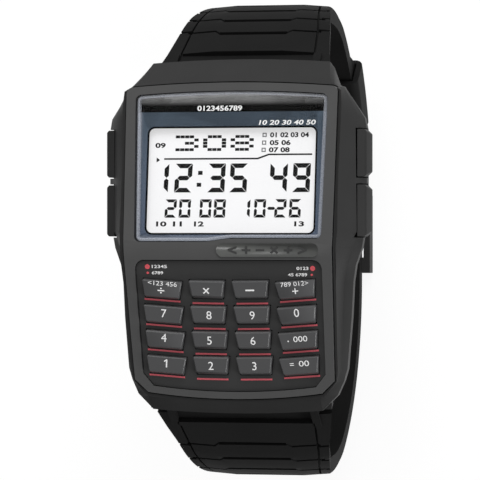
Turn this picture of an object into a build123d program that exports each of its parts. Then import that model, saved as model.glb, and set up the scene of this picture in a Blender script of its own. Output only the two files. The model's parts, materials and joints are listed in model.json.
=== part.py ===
from build123d import *
from math import acos, cos, degrees, radians, sin, tan
import os

# A calculator wristwatch, fastened, standing on the flat of its buckle with its face up.
# Millimetres. +Z is out of the dial, +Y towards 12 o'clock, +X towards 3 o'clock.
# Depths are measured down from the ridge that crosses the front between display and keypad.

os.makedirs("parts", exist_ok=True)

# The whole watch
watch_height = 57.5
ridge_y = -1.4
display_tilt = 7.5
keypad_tilt = 14.0
ridge_radius = 8.0
reach = 60.0  # longer than anything that a cutter has to clear

# Clearances
seat_gap = 0.15
part_gap = 0.1
key_gap = 0.08
running_gap = 0.05
tight_gap = 0.02

# Case outlines at four depths, right-hand side from the hood round to the nose
case_depths = [0.0, 5.6, 6.84, 9.2]
case_sides = [
    [(14.8, 19.6), (15.2, 19.95), (15.55, 20.9), (15.6, 20.4), (13.87, 17.3), (14.0, 15.5), (15.4, 1.2),
     (15.42, 0.3), (15.43, -1.1), (15.35, -3.5), (15.2, -5.9), (14.93, -11.0), (14.35, -18.2), (14.7, -19.9),
     (12.8, -21.8), (12.2, -22.0)],
    [(13.65, 23.05), (14.22, 22.66), (14.94, 21.62), (15.65, 21.5), (17.7, 17.3), (17.9, 15.5), (17.9, 1.2),
     (17.35, 0.3), (16.85, -1.1), (16.15, -3.4), (15.7, -5.9), (15.45, -11.0), (15.15, -18.2), (14.75, -19.9),
     (12.9, -22.1), (12.3, -22.3)],
    [(13.4, 23.85), (14.0, 23.26), (14.79, 21.72), (15.6, 21.6), (18.4, 17.2), (18.68, 15.5), (18.68, 1.2),
     (18.2, 0.3), (17.95, -1.1), (17.1, -3.5), (16.75, -5.9), (16.5, -11.0), (15.9, -18.2), (15.4, -19.9),
     (14.5, -21.9), (12.3, -24.1)],
    [(12.9, 25.3), (13.6, 24.4), (14.5, 21.9), (15.15, 21.6), (18.2, 17.1), (18.5, 15.5), (18.5, 1.2),
     (18.0, 0.3), (17.75, -1.1), (16.9, -3.5), (16.55, -5.9), (16.3, -11.0), (15.7, -18.2), (15.2, -19.9),
     (14.3, -21.9), (12.1, -24.0)],
]
hood_middles = [20.35, 23.65, 24.35, 25.75]
nose_middles = [-22.6, -22.95, -24.6, -24.5]
rim_drop = 0.3
case_depth = case_depths[-1]

# Bezel, glass and keypad recess, as seen from the front
bezel_top_corner = (15.25, 21.55)
bezel_waist = (15.0, 0.0)
bezel_foot_corner = (14.45, -19.8)
bezel_foot_edge = (12.6, -21.6)
bezel_top_middle = 22.2
bezel_foot_middle = -22.5
bezel_corner_radius = 0.9
bezel_depth = 1.5
glass_top_corner = (13.9, 20.5)
glass_top_middle = 21.05
glass_foot_x = 13.45
glass_foot_left_y = -0.25
glass_foot_right_y = 0.2
glass_wave_left_x = -3.1
glass_wave_right_x = 0.2
glass_corner_radius = 0.8
recess_top_corner = (13.5, -2.8)
recess_side_foot = (13.25, -18.9)
recess_foot_corner = (11.8, -20.7)
recess_foot_middle = -21.5
recess_corner_radius = 1.3
bar_plate_left = -1.55
bar_plate_right = 13.1
bar_plate_y = -1.42
bar_plate_width = 1.9
bar_plate_raise = 0.1

# Glass stack, depths square to the display face
lens_depth = 0.3
lens_thickness = 1.05
mask_thickness = 0.15
front_wall_depth = 2.3
window_side_inset = 1.5
window_end_inset = 1.25
window_radius = 0.8
print_inset = 0.25
lcd_thickness = 1.0
lcd_side_wall = 0.5
lcd_low_y = -0.5
lcd_high_y = 17.3
backlight_thickness = 0.65
backlight_side_inset = 0.75
backlight_end_inset = 0.45

# Inner space of the case
cavity_half_width = 13.8
rim_wall = 1.48
key_space_foot_y = -19.3
key_space_depth = 3.65
post_size = 2.7
post_depth = 8.15

# Keypad, depths square to its face
plate_depth = 0.4
key_window_half_width = 12.95
key_window_high_y = -4.6
key_window_low_y = -19.2
key_rise = 0.8
key_edges = [(-12.5, -6.76), (-5.76, -0.5), (0.52, 5.8), (6.8, 12.5)]
key_turns = [-4.5, -0.8, 0.8, 4.5]
key_first_row = -4.435
key_pitch = 3.7
key_face_height = 2.27
key_skirt_height = 0.45
key_narrowing = 0.4
key_flange = 0.25
key_flange_thickness = 0.35
key_travel = 0.35
key_names = [
    ["key_divide", "key_multiply", "key_minus", "key_plus"],
    ["key_7", "key_8", "key_9", "key_0"],
    ["key_4", "key_5", "key_6", "key_point"],
    ["key_1", "key_2", "key_3", "key_equals"],
]
mat_thickness = 0.6
keypad_board_thickness = 0.6
keypad_half_width = 13.3
keypad_high_y = -3.6
keypad_low_y = -19.15

# Module behind the display
frame_side_gap = 0.3
frame_end_gap = 0.2
frame_relief_depth = 5.3
frame_relief_low_y = 1.6
frame_relief_high_y = 15.0
frame_step_y = -3.4
board_depth = 6.6
board_thickness = 0.6
board_side_wall = 0.15
board_low_y = -1.5
board_high_y = 17.6
strip_inset = 0.9
strip_width = 0.9
strip_centres = [0.15, 16.55]
battery_radius = 8.0
battery_thickness = 1.6
battery_centre = (-3.8, 8.6)
battery_step = 0.35
clamp_thickness = 0.2
clamp_width = 4.0
clamp_foot_x = 5.4
clamp_foot_width = 1.0
chip_size = (6.0, 7.5, 0.9)
chip_centre = (9.2, 12.2)
crystal_radius = 0.75
crystal_length = 5.0
crystal_centre = (9.2, 6.2)
coil_radius = 2.0
coil_height = 1.4
coil_core_radius = 0.8
coil_centre = (9.2, 2.4)
buzzer_radius = 6.5
buzzer_thickness = 0.25
buzzer_y = -10.2
buzzer_recess = 0.35
contact_radius = 0.5
contact_y = -5.6

# Case back
back_thickness = 0.7
back_corner_radius = 3.0
gasket_land = 0.35
gasket_width = 0.5
gasket_depth = 0.4
gasket_corner_radius = 2.4
screw_radius = 0.5
screw_head_radius = 1.0
screw_head_height = 0.5
screw_length = 1.5
screw_slot_width = 0.3
screw_slot_depth = 0.25

# Pushers
pusher_profile = [(17.6, 5.1), (18.85, 5.7), (19.25, 7.3), (19.25, 8.2), (17.6, 8.2)]
pusher_spans = {"upper": (8.9, 15.6), "lower": (0.5, 7.8)}
pusher_chamfer = 0.7
pusher_travel = 0.5
pusher_stop_gap = 0.1
pusher_stem_depth = 6.9
pusher_stem_radius = 0.7
pusher_stem_end_x = 13.15
pusher_neck_radius = 0.5
pusher_neck_start_x = 13.45
pusher_neck_end_x = 13.75
pusher_clip_radius = 1.3
seal_radius = 1.2
seal_start_x = 14.8
seal_thickness = 0.8

# Strap loop: a slope, a side arc and a back arc on each side, meeting in a flat above the buckle
slope_angle = 53.13
knee_angle = 30.8
blend_angle = -8.0
side_radius_share = 0.3636
back_radius_share = 0.55
strap_front_thickness = 2.6
strap_back_thickness = 2.0
strap_back_half_width = 8.6
hood_pivot_y = 21.8
hood_pivot_depth = 8.2
nose_pivot_shift = 1.0
pivot_offset = 1.29
knuckle_radius = 1.6
knuckle_half_width = 11.0
cheek_half_width = 11.3
lug_half_width = 13.2
lug_drop = 1.0
lug_inner_y = 20.6
knuckle_room = 0.32
hood_room_offset = 1.54
nose_room_offset = 1.79
room_angle = 41.0
bar_radius = 0.75
bar_half_length = 11.2
bar_tip_radius = 0.45
bar_tip_half_length = 12.5
crown_half_width = 5.0
border_drop = 0.35
border_x = 9.3
shoulder_drop = 0.7
strap_blank_half_width = 13.2
shoulder_starts = {"hood": 4.0, "nose": 2.95}
taper_shares = {
    "hood": [0.02, 0.055, 0.169, 0.29, 0.43, 0.647, 1.05],
    "nose": [0.0, 0.061, 0.157, 0.247, 0.372, 0.484, 0.689, 1.05],
}
taper_widths = {
    "hood": [13.0, 12.95, 11.95, 11.2, 10.4],
    "nose": [13.0, 12.8, 12.1, 11.3, 10.5, 9.9],
}

# Plates on the front of the strap, with grooves between them, measured along the strap
plate_starts = {"hood": 7.2, "nose": 4.6}
groove_places = {"hood": [11.8, 15.3, 18.9, 22.5], "nose": [10.0, 14.0, 17.9, 21.8]}
recess_start = 1.5
recess_drop = 0.8
recess_half_width = 9.9
groove_middle_width = 0.7
groove_side_width = 0.4
groove_depth = 0.8
groove_step_length = 0.7
groove_border_shift = 0.7
groove_edge_shift = 1.1
groove_edge_depth = 1.5
seam_width = 0.3
seam_depth = 0.85
seam_shares = [0.0, 0.144, 0.3, 0.5, 0.6]
seam_places = [9.95, 9.75, 9.2, 8.1, 7.6]

# Buckle end
crossbar_height = 2.4
buckle_gap = 0.1
buckle_pin_y = 5.9
buckle_pin_lift = 1.15
buckle_knuckle_radius = 1.45
buckle_pin_radius = 0.75
tongue_slot_half_width = 1.3
bend_start_y = 2.3
bend_radius = 5.0
table_gap = 0.1
tail_thickness = 1.6
tail_angle = 46.5
rail_gap = 0.2
rail_width = 1.0
crossbar_reach = 11.0
crossbar_width = 2.4
ear_radius = 1.9
tongue_half_width = 1.0
tongue_thickness = 1.0
tongue_rest_height = 0.15
tongue_ring_radius = 1.4
tongue_length = 11.3
tongue_slope_length = 7.6
strap_hole_half_width = 1.3
strap_hole_length = 4.1
strap_hole_shift = 0.6
strap_hole_pitch = 6.0
flat_hole_steps = [-1, 0, 1]
tail_hole_steps = [2]
back_hole_steps = [2, 3, 4]
tail_corner_radius = 4.0
keeper_start_angle = 22.0
keeper_end_angle = 40.5
keeper_gap = 0.15
keeper_wall = 0.9
keeper_side_wall = 0.9
keeper_side_gap = 0.2
keeper_corner_radius = 1.2
keeper_overcut_angle = 1.0

# Sizes that follow from those above
cavity_half_length = hood_pivot_y - knuckle_radius - knuckle_room - rim_wall
gasket_half_width = cavity_half_width + gasket_land + gasket_width
gasket_half_length = cavity_half_length + gasket_land + gasket_width
back_half_width = gasket_half_width + gasket_land
back_half_length = gasket_half_length + gasket_land
post_hole_x = cavity_half_width - post_size / 2
post_hole_y = cavity_half_length - post_size / 2
frame_half_width = cavity_half_width - frame_side_gap
frame_half_length = cavity_half_length - frame_end_gap
frame_relief_half_width = pusher_stem_end_x - pusher_travel - part_gap
lcd_half_width = frame_half_width - lcd_side_wall
frame_back_depth = case_depth - part_gap
window_size = (2 * (cavity_half_width - window_side_inset), lcd_high_y - lcd_low_y - 2 * window_end_inset)
window_y = (lcd_low_y + lcd_high_y) / 2
print_size = (window_size[0] - 2 * print_inset, window_size[1] - 2 * print_inset)
backlight_half_width = frame_relief_half_width - backlight_side_inset
backlight_size = (2 * backlight_half_width, window_size[1] - 2 * backlight_end_inset)
board_half_width = frame_relief_half_width - board_side_wall
strip_half_length = board_half_width - strip_inset
pusher_recess_x = pusher_profile[0][0] - pusher_travel - pusher_stop_gap
pusher_recess_high_depth = pusher_profile[0][1] - seat_gap
lug_depth = hood_pivot_depth + nose_pivot_shift * sin(radians(slope_angle)) + lug_drop
flat_height = crossbar_height + buckle_gap
loop_height = watch_height - flat_height
side_radius = side_radius_share * loop_height
back_radius = back_radius_share * loop_height
rail_inner_x = strap_back_half_width + rail_gap
rail_outer_x = rail_inner_x + rail_width
crossbar_low_y = buckle_pin_y - crossbar_reach
crossbar_high_y = crossbar_low_y + crossbar_width
tongue_tip_y = buckle_pin_y - tongue_length
tongue_bend_y = buckle_pin_y - tongue_slope_length
notch_depth = tongue_rest_height + tongue_thickness + part_gap
mat_depth = bezel_depth + key_flange_thickness + key_travel + part_gap


def height_at(depth):
    """Height above the table of a place this far below the ridge."""
    return watch_height - depth


def tilted_plane(tilt, depth):
    """A plane through the ridge line at a tilt, moved this far into the watch."""
    normal = Vector(0, sin(radians(tilt)), cos(radians(tilt)))
    return Plane(origin=Vector(0, ridge_y, watch_height) - normal * depth, x_dir=(1, 0, 0), z_dir=normal)


def display_plane(depth):
    return tilted_plane(display_tilt, depth)


def keypad_plane(depth):
    return tilted_plane(-keypad_tilt, depth)


def bend_y(depth):
    """Where the two sloping faces meet, this far under the surface."""
    spread = 1 / cos(radians(keypad_tilt)) - 1 / cos(radians(display_tilt))
    return ridge_y + depth * spread / (tan(radians(display_tilt)) + tan(radians(keypad_tilt)))


def front_height(y, depth):
    """Height of the bent front, this far under its surface."""
    run = y - ridge_y
    display = watch_height - depth / cos(radians(display_tilt)) - run * tan(radians(display_tilt))
    keypad = watch_height - depth / cos(radians(keypad_tilt)) + run * tan(radians(keypad_tilt))
    return min(display, keypad)


def bent_line(depth, low_y, high_y):
    """Points of the bent front's side view from low_y to high_y."""
    points = [(low_y, front_height(low_y, depth))]
    if low_y < bend_y(depth) < high_y:
        points.append((bend_y(depth), front_height(bend_y(depth), depth)))
    points.append((high_y, front_height(high_y, depth)))
    return points


def filled(points):
    """Add the polygon through these points to the sketch being drawn."""
    Polygon(*points, align=None)


def ring_sector(centre, inner_radius, outer_radius, start_angle, turn):
    """Add the part of a flat ring between two angles to the sketch being drawn."""
    with BuildLine() as outline:
        outer = CenterArc(centre, outer_radius, start_angle, turn)
        inner = CenterArc(centre, inner_radius, start_angle, turn)
        Line(outer @ 0, inner @ 0)
        Line(outer @ 1, inner @ 1)
    make_face(outline.edges())


def mirrored(points):
    return [(-x, y) for x, y in points]


# Plan outlines that several pieces share
with BuildSketch() as bezel_plan:
    with BuildLine():
        side = [bezel_top_corner, bezel_waist, bezel_foot_corner, bezel_foot_edge]
        Polyline(*side)
        Polyline(*mirrored(side))
        ThreePointArc(mirrored(side)[0], (0, bezel_top_middle), side[0])
        ThreePointArc(mirrored(side)[-1], (0, bezel_foot_middle), side[-1])
    make_face()
    fillet(vertices().group_by(Axis.Y)[-1], radius=bezel_corner_radius)

with BuildSketch() as glass_plan:
    with BuildLine():
        Polyline(
            glass_top_corner,
            (glass_foot_x, glass_foot_right_y),
            (glass_wave_right_x, glass_foot_right_y),
            (glass_wave_left_x, glass_foot_left_y),
            (-glass_foot_x, glass_foot_left_y),
            (-glass_top_corner[0], glass_top_corner[1]),
        )
        ThreePointArc((-glass_top_corner[0], glass_top_corner[1]), (0, glass_top_middle), glass_top_corner)
    make_face()
    fillet(vertices(), radius=glass_corner_radius)

with BuildSketch() as recess_plan:
    with BuildLine():
        side = [recess_top_corner, recess_side_foot, recess_foot_corner]
        Polyline(*side)
        Polyline(*mirrored(side))
        Line(mirrored(side)[0], side[0])
        ThreePointArc(mirrored(side)[-1], (0, recess_foot_middle), side[-1])
    make_face()
    fillet(vertices().group_by(Axis.Y)[-1], radius=recess_corner_radius)

# Room inside the case for the bezel, from above, and for the module, from below
with BuildPart() as bezel_room:
    with BuildSketch(Plane.YZ):
        line = bent_line(bezel_depth, -reach / 2, reach / 2)
        filled(line + [(reach / 2, watch_height + reach / 2), (-reach / 2, watch_height + reach / 2)])
    extrude(amount=reach / 2, both=True)
    extrude(offset(bezel_plan.sketch, amount=seat_gap), amount=watch_height + reach, mode=Mode.INTERSECT)

with BuildPart() as module_room:
    with BuildSketch(Plane.YZ):
        line = bent_line(front_wall_depth, -cavity_half_length, cavity_half_length)
        foot = height_at(lug_depth)
        filled(line + [(cavity_half_length, foot), (-cavity_half_length, foot)])
        line = bent_line(front_wall_depth, key_space_foot_y, keypad_high_y)
        filled(line + bent_line(key_space_depth, key_space_foot_y, keypad_high_y)[::-1])
    extrude(amount=cavity_half_width, both=True)


# Directions of the strap's slope in the side view, away from the case and away from the wrist
downhill = (cos(radians(slope_angle)), -sin(radians(slope_angle)))
outward = (sin(radians(slope_angle)), cos(radians(slope_angle)))


def pivot_at(end):
    """Place of a strap pivot in the side view: its distance from the middle and its height."""
    shift = nose_pivot_shift if end == "nose" else 0
    return hood_pivot_y + shift * downhill[0], height_at(hood_pivot_depth) + shift * downhill[1]


def side_plane(end):
    """The middle plane of the watch, with its first axis pointing to one end of the case."""
    if end == "hood":
        return Plane.YZ
    return Plane(origin=(0, 0, 0), x_dir=(0, -1, 0), z_dir=(-1, 0, 0))


def strap_room(end, offset_from_pivot):
    """Draw the space that a strap end needs inside the case."""
    y, z = pivot_at(end)
    along = (cos(radians(room_angle)), -sin(radians(room_angle)))
    foot = (y + offset_from_pivot * -along[1], z + offset_from_pivot * along[0])
    far = (foot[0] + reach * along[0], foot[1] + reach * along[1])
    with Locations((y, z)):
        Circle(knuckle_radius + knuckle_room)
    inner_y = y - knuckle_radius - knuckle_room
    filled([(inner_y, z), foot, far, (far[0], 0), (inner_y, 0)])


def side_wall(hand, x):
    """A plane facing out of the right (1) or left (-1) side; its first axis is the hand times Y."""
    return Plane(origin=(hand * x, 0, 0), x_dir=(0, hand, 0), z_dir=(hand, 0, 0))


def mirrored_spots(x, y):
    return [(x, y), (-x, y), (x, -y), (-x, -y)]


# The moulded case, open at the back
with BuildPart() as case_body:
    for depth, side, hood_middle, nose_middle in zip(case_depths, case_sides, hood_middles, nose_middles):
        with BuildSketch(Plane.XY.offset(height_at(depth))):
            with BuildLine():
                Polyline(*side)
                Polyline(*mirrored(side))
                ThreePointArc(mirrored(side)[0], (0, hood_middle), side[0])
                ThreePointArc(mirrored(side)[-1], (0, nose_middle), side[-1])
            make_face()
    loft(ruled=True)
    # Lugs that carry the spring bar at the nose
    with BuildSketch(side_plane("nose")):
        lug_y, lug_z = pivot_at("nose")
        lug_foot = height_at(lug_depth)
        filled([(lug_inner_y, lug_z), (lug_y + knuckle_radius, lug_z),
                (lug_y + knuckle_radius / 2, lug_foot), (lug_inner_y, lug_foot)])
    extrude(amount=lug_half_width, both=True)
    # The front follows the bent face, a little below the bezel
    with BuildSketch(Plane.YZ):
        line = bent_line(rim_drop, -reach / 2, reach / 2)
        filled(line + [(reach / 2, watch_height + reach), (-reach / 2, watch_height + reach)])
    extrude(amount=reach, both=True, mode=Mode.SUBTRACT)
    add(bezel_room.part, mode=Mode.SUBTRACT)
    add(module_room.part, mode=Mode.SUBTRACT)
    for end, room_offset in (("hood", hood_room_offset), ("nose", nose_room_offset)):
        with BuildSketch(side_plane(end)):
            strap_room(end, room_offset)
        extrude(amount=cheek_half_width, both=True, mode=Mode.SUBTRACT)
        with BuildSketch(side_plane(end)):
            with Locations(pivot_at(end)):
                Circle(bar_tip_radius + running_gap)
        extrude(amount=bar_tip_half_length + part_gap, both=True, mode=Mode.SUBTRACT)
    # Corner posts for the screws of the case back
    with BuildSketch(Plane.XY.offset(height_at(post_depth))):
        with Locations(*mirrored_spots(post_hole_x, post_hole_y)):
            Rectangle(post_size, post_size)
    extrude(amount=post_depth - case_depth)
    with Locations(*[(x, y, height_at(case_depth)) for x, y in mirrored_spots(post_hole_x, post_hole_y)]):
        Hole(screw_radius + tight_gap, depth=case_depth - post_depth)
    with BuildSketch(Plane.XY.offset(height_at(case_depth))):
        RectangleRounded(2 * gasket_half_width, 2 * gasket_half_length, gasket_corner_radius)
        RectangleRounded(2 * (gasket_half_width - gasket_width), 2 * (gasket_half_length - gasket_width),
                         gasket_corner_radius - gasket_width, mode=Mode.SUBTRACT)
    extrude(amount=gasket_depth, mode=Mode.SUBTRACT)
    # Windows for the display and the keys
    with BuildSketch(Plane.XY.offset(height_at(case_depth))):
        with Locations((0, window_y)):
            RectangleRounded(*window_size, window_radius)
        with Locations((0, (key_window_high_y + key_window_low_y) / 2)):
            Rectangle(2 * key_window_half_width, key_window_high_y - key_window_low_y)
    extrude(amount=reach, mode=Mode.SUBTRACT)
    # A recess and a stepped bore for each pusher
    for low_y, high_y in pusher_spans.values():
        middle_y = (low_y + high_y) / 2
        recess_length = high_y - low_y + 2 * seat_gap
        recess_height = pusher_profile[-1][1] - pusher_recess_high_depth + seat_gap
        recess_z = height_at(pusher_profile[-1][1] + seat_gap) + recess_height / 2
        for hand in (1, -1):
            with BuildSketch(side_wall(hand, pusher_recess_x)):
                with Locations((hand * middle_y, recess_z)):
                    Rectangle(recess_length, recess_height)
            extrude(amount=reach, mode=Mode.SUBTRACT)
            with BuildSketch(side_wall(hand, cavity_half_width)):
                with Locations((hand * middle_y, height_at(pusher_stem_depth))):
                    Circle(pusher_stem_radius + running_gap)
            extrude(amount=pusher_recess_x - cavity_half_width, mode=Mode.SUBTRACT)
            with BuildSketch(side_wall(hand, seal_start_x)):
                with Locations((hand * middle_y, height_at(pusher_stem_depth))):
                    Circle(seal_radius + tight_gap)
            extrude(amount=pusher_recess_x - seal_start_x, mode=Mode.SUBTRACT)

case_body.part.label = "case_body"
export_step(case_body.part, "parts/case_body.step")

# The bezel, bent across the ridge, with the glass opening and the keypad recess
with BuildPart() as front_bezel:
    with BuildSketch(Plane.YZ):
        filled(bent_line(0, -reach / 2, reach / 2) + bent_line(bezel_depth, -reach / 2, reach / 2)[::-1])
        fillet(vertices().sort_by(Axis.Y)[-1], radius=ridge_radius)
    extrude(amount=reach / 2, both=True)
    extrude(bezel_plan.sketch, amount=watch_height + reach, mode=Mode.INTERSECT)
    extrude(glass_plan.sketch, amount=watch_height + reach, mode=Mode.SUBTRACT)
    extrude(recess_plan.sketch, amount=watch_height + reach, mode=Mode.SUBTRACT)
    # A low oval plate on the bar between display and keypad, left bare
    ridge_rounding = ridge_radius * (1 / cos(radians((display_tilt + keypad_tilt) / 2)) - 1)
    with BuildSketch(Plane.XY.offset(height_at(bezel_depth))):
        with Locations(((bar_plate_left + bar_plate_right) / 2, bar_plate_y)):
            SlotOverall(bar_plate_right - bar_plate_left, bar_plate_width)
    extrude(amount=bezel_depth + bar_plate_raise - ridge_rounding)

front_bezel.part.label = "front_bezel"
export_step(front_bezel.part, "parts/front_bezel.step")

# Glass and the printed mask behind it
with BuildPart() as lens:
    with BuildSketch(display_plane(lens_depth + lens_thickness)):
        Rectangle(reach, reach)
    extrude(amount=lens_thickness)
    extrude(offset(glass_plan.sketch, amount=-part_gap), amount=watch_height + reach, mode=Mode.INTERSECT)

lens.part.label = "lens"
export_step(lens.part, "parts/lens.step")

with BuildSketch() as mask_plan:
    add(offset(glass_plan.sketch, amount=-part_gap))
    with Locations((0, window_y)):
        RectangleRounded(*print_size, window_radius, mode=Mode.SUBTRACT)

with BuildPart() as lens_mask:
    with BuildSketch(display_plane(bezel_depth)):
        Rectangle(reach, reach)
    extrude(amount=mask_thickness)
    extrude(mask_plan.sketch, amount=watch_height + reach, mode=Mode.INTERSECT)

lens_mask.part.label = "lens_mask"
export_step(lens_mask.part, "parts/lens_mask.step")


def display_y(y, depth):
    """Distance along the display plane at this depth of a place given in the watch's own Y."""
    return (y - ridge_y + depth * sin(radians(display_tilt))) / cos(radians(display_tilt))


def keypad_y(y, depth):
    """The same along the keypad plane."""
    return (y - ridge_y - depth * sin(radians(keypad_tilt))) / cos(radians(keypad_tilt))


# Display module
lcd_back_depth = front_wall_depth + lcd_thickness
with BuildPart() as lcd_panel:
    with BuildSketch(display_plane(lcd_back_depth)):
        low, high = display_y(lcd_low_y, lcd_back_depth), display_y(lcd_high_y, lcd_back_depth)
        with Locations((0, (low + high) / 2)):
            Rectangle(2 * lcd_half_width, high - low)
    extrude(amount=lcd_thickness)

lcd_panel.part.label = "lcd_panel"
export_step(lcd_panel.part, "parts/lcd_panel.step")

backlight_back_depth = lcd_back_depth + backlight_thickness
with BuildPart() as backlight_panel:
    with BuildSketch(display_plane(backlight_back_depth)):
        with Locations((0, display_y(window_y, backlight_back_depth))):
            Rectangle(*backlight_size)
    extrude(amount=backlight_thickness)

backlight_panel.part.label = "backlight_panel"
export_step(backlight_panel.part, "parts/backlight_panel.step")

with BuildPart() as zebra_strips:
    for centre_y in strip_centres:
        low_y, high_y = centre_y - strip_width / 2, centre_y + strip_width / 2
        with BuildSketch(Plane.YZ):
            line = bent_line(lcd_back_depth, low_y, high_y)
            filled(line + [(high_y, height_at(board_depth)), (low_y, height_at(board_depth))])
        extrude(amount=strip_half_length, both=True)

zebra_strips.part.label = "zebra_strips"
export_step(zebra_strips.part, "parts/zebra_strips.step")

with BuildPart() as module_frame:
    with BuildSketch(Plane.YZ):
        line = bent_line(key_space_depth, -frame_half_length, frame_step_y)
        line += bent_line(front_wall_depth + running_gap, frame_step_y, frame_half_length)
        frame_foot = height_at(frame_back_depth)
        filled(line + [(frame_half_length, frame_foot), (-frame_half_length, frame_foot)])
    extrude(amount=frame_half_width, both=True)
    # Pocket for the glass cell and, under it, for the backlight
    with BuildSketch(display_plane(lcd_back_depth)):
        low = display_y(lcd_low_y, lcd_back_depth) - part_gap
        high = display_y(lcd_high_y, lcd_back_depth) + part_gap
        with Locations((0, (low + high) / 2)):
            Rectangle(2 * (lcd_half_width + part_gap), high - low)
    extrude(amount=lcd_back_depth, mode=Mode.SUBTRACT)
    with BuildSketch(display_plane(backlight_back_depth)):
        with Locations((0, display_y(window_y, backlight_back_depth))):
            Rectangle(backlight_size[0] + 2 * part_gap, backlight_size[1] + 2 * part_gap)
    extrude(amount=lcd_back_depth, mode=Mode.SUBTRACT)
    # Room for the circuit board and battery, open to the back
    with BuildSketch(Plane.XY.offset(height_at(lug_depth))):
        with Locations((0, (board_low_y + board_high_y) / 2)):
            Rectangle(2 * (board_half_width + part_gap), board_high_y - board_low_y + 2 * part_gap)
    extrude(amount=lug_depth - board_depth, mode=Mode.SUBTRACT)
    with BuildSketch(Plane.XY.offset(height_at(lug_depth))):
        for centre_y in strip_centres:
            with Locations((0, centre_y)):
                Rectangle(2 * (strip_half_length + part_gap), strip_width + 2 * part_gap)
    extrude(amount=reach, mode=Mode.SUBTRACT)
    with BuildSketch(Plane.XY.offset(height_at(lug_depth))):
        with Locations(*mirrored_spots(cavity_half_width, cavity_half_length)):
            Rectangle(2 * (post_size + seat_gap), 2 * (post_size + seat_gap))
    extrude(amount=lug_depth - post_depth + seat_gap, mode=Mode.SUBTRACT)
    with BuildSketch(Plane.XY.offset(height_at(lug_depth))):
        with Locations((0, buzzer_y)):
            Circle(buzzer_radius + seat_gap)
    extrude(amount=lug_depth - case_depth + buzzer_recess, mode=Mode.SUBTRACT)
    with Locations((0, contact_y, height_at(frame_back_depth))):
        Hole(contact_radius + running_gap, depth=frame_back_depth)
    # Relief beside the pusher stems
    for hand in (1, -1):
        with BuildSketch(side_wall(hand, frame_relief_half_width)):
            middle = (frame_relief_low_y + frame_relief_high_y) / 2
            with Locations((middle * hand, height_at((frame_relief_depth + lug_depth) / 2))):
                Rectangle(frame_relief_high_y - frame_relief_low_y, lug_depth - frame_relief_depth)
        extrude(amount=reach, mode=Mode.SUBTRACT)

module_frame.part.label = "module_frame"
export_step(module_frame.part, "parts/module_frame.step")

board_back_depth = board_depth + board_thickness
with BuildPart() as circuit_board:
    with BuildSketch(Plane.XY.offset(height_at(board_back_depth))):
        with Locations((0, (board_low_y + board_high_y) / 2)):
            Rectangle(2 * board_half_width, board_high_y - board_low_y)
    extrude(amount=board_thickness)

circuit_board.part.label = "circuit_board"
export_step(circuit_board.part, "parts/circuit_board.step")

with BuildPart() as battery:
    with BuildSketch(Plane.XY.offset(height_at(board_back_depth))):
        with Locations(battery_centre):
            Circle(battery_radius - battery_step)
    extrude(amount=-battery_step)
    with BuildSketch(Plane.XY.offset(height_at(board_back_depth + battery_step))):
        with Locations(battery_centre):
            Circle(battery_radius)
    extrude(amount=-(battery_thickness - battery_step))

battery.part.label = "battery"
export_step(battery.part, "parts/battery.step")

battery_back_depth = board_back_depth + battery_thickness
with BuildPart() as battery_clamp:
    with BuildSketch(Plane.XY.offset(height_at(battery_back_depth + clamp_thickness))):
        with Locations((clamp_foot_x, battery_centre[1])):
            clamp_length = battery_radius + clamp_foot_x - battery_centre[0]
            Rectangle(clamp_length, clamp_width, align=(Align.MAX, Align.CENTER))
    extrude(amount=clamp_thickness)
    with BuildSketch(Plane.XY.offset(height_at(battery_back_depth + clamp_thickness))):
        with Locations((clamp_foot_x, battery_centre[1])):
            Rectangle(clamp_foot_width, clamp_width, align=(Align.MAX, Align.CENTER))
    extrude(amount=battery_thickness + clamp_thickness)

battery_clamp.part.label = "battery_clamp"
export_step(battery_clamp.part, "parts/battery_clamp.step")

with BuildPart() as processor_chip:
    with BuildSketch(Plane.XY.offset(height_at(board_back_depth))):
        with Locations(chip_centre):
            Rectangle(chip_size[0], chip_size[1])
    extrude(amount=-chip_size[2])

processor_chip.part.label = "processor_chip"
export_step(processor_chip.part, "parts/processor_chip.step")

with BuildPart() as quartz_crystal:
    with BuildSketch(Plane.YZ.offset(crystal_centre[0])):
        with Locations((crystal_centre[1], height_at(board_back_depth + crystal_radius))):
            Circle(crystal_radius)
    extrude(amount=crystal_length / 2, both=True)

quartz_crystal.part.label = "quartz_crystal"
export_step(quartz_crystal.part, "parts/quartz_crystal.step")

with BuildPart() as boost_coil:
    with BuildSketch(Plane.XY.offset(height_at(board_back_depth))):
        with Locations(coil_centre):
            Circle(coil_radius)
            Circle(coil_core_radius, mode=Mode.SUBTRACT)
    extrude(amount=-coil_height)

boost_coil.part.label = "boost_coil"
export_step(boost_coil.part, "parts/boost_coil.step")

# Sounder on the case back and its contact
with BuildPart() as buzzer_disc:
    with BuildSketch(Plane.XY.offset(height_at(case_depth))):
        with Locations((0, buzzer_y)):
            Circle(buzzer_radius)
    extrude(amount=buzzer_thickness)

buzzer_disc.part.label = "buzzer_disc"
export_step(buzzer_disc.part, "parts/buzzer_disc.step")

board_foot_depth = mat_depth + mat_thickness + keypad_board_thickness
with BuildPart() as buzzer_contact:
    contact_top = front_height(contact_y - contact_radius, board_foot_depth)
    contact_foot = height_at(case_depth) + buzzer_thickness
    with BuildSketch(Plane.XY.offset(contact_foot)):
        with Locations((0, contact_y)):
            Circle(contact_radius)
    extrude(amount=contact_top - contact_foot)

buzzer_contact.part.label = "buzzer_contact"
export_step(buzzer_contact.part, "parts/buzzer_contact.step")


def keypad_rectangle(depth):
    """Draw the outline of the flat layers under the keys, on the keypad plane at this depth."""
    low, high = keypad_y(keypad_low_y, depth), keypad_y(keypad_high_y, depth)
    with Locations((0, (low + high) / 2)):
        Rectangle(2 * keypad_half_width, high - low)


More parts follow.
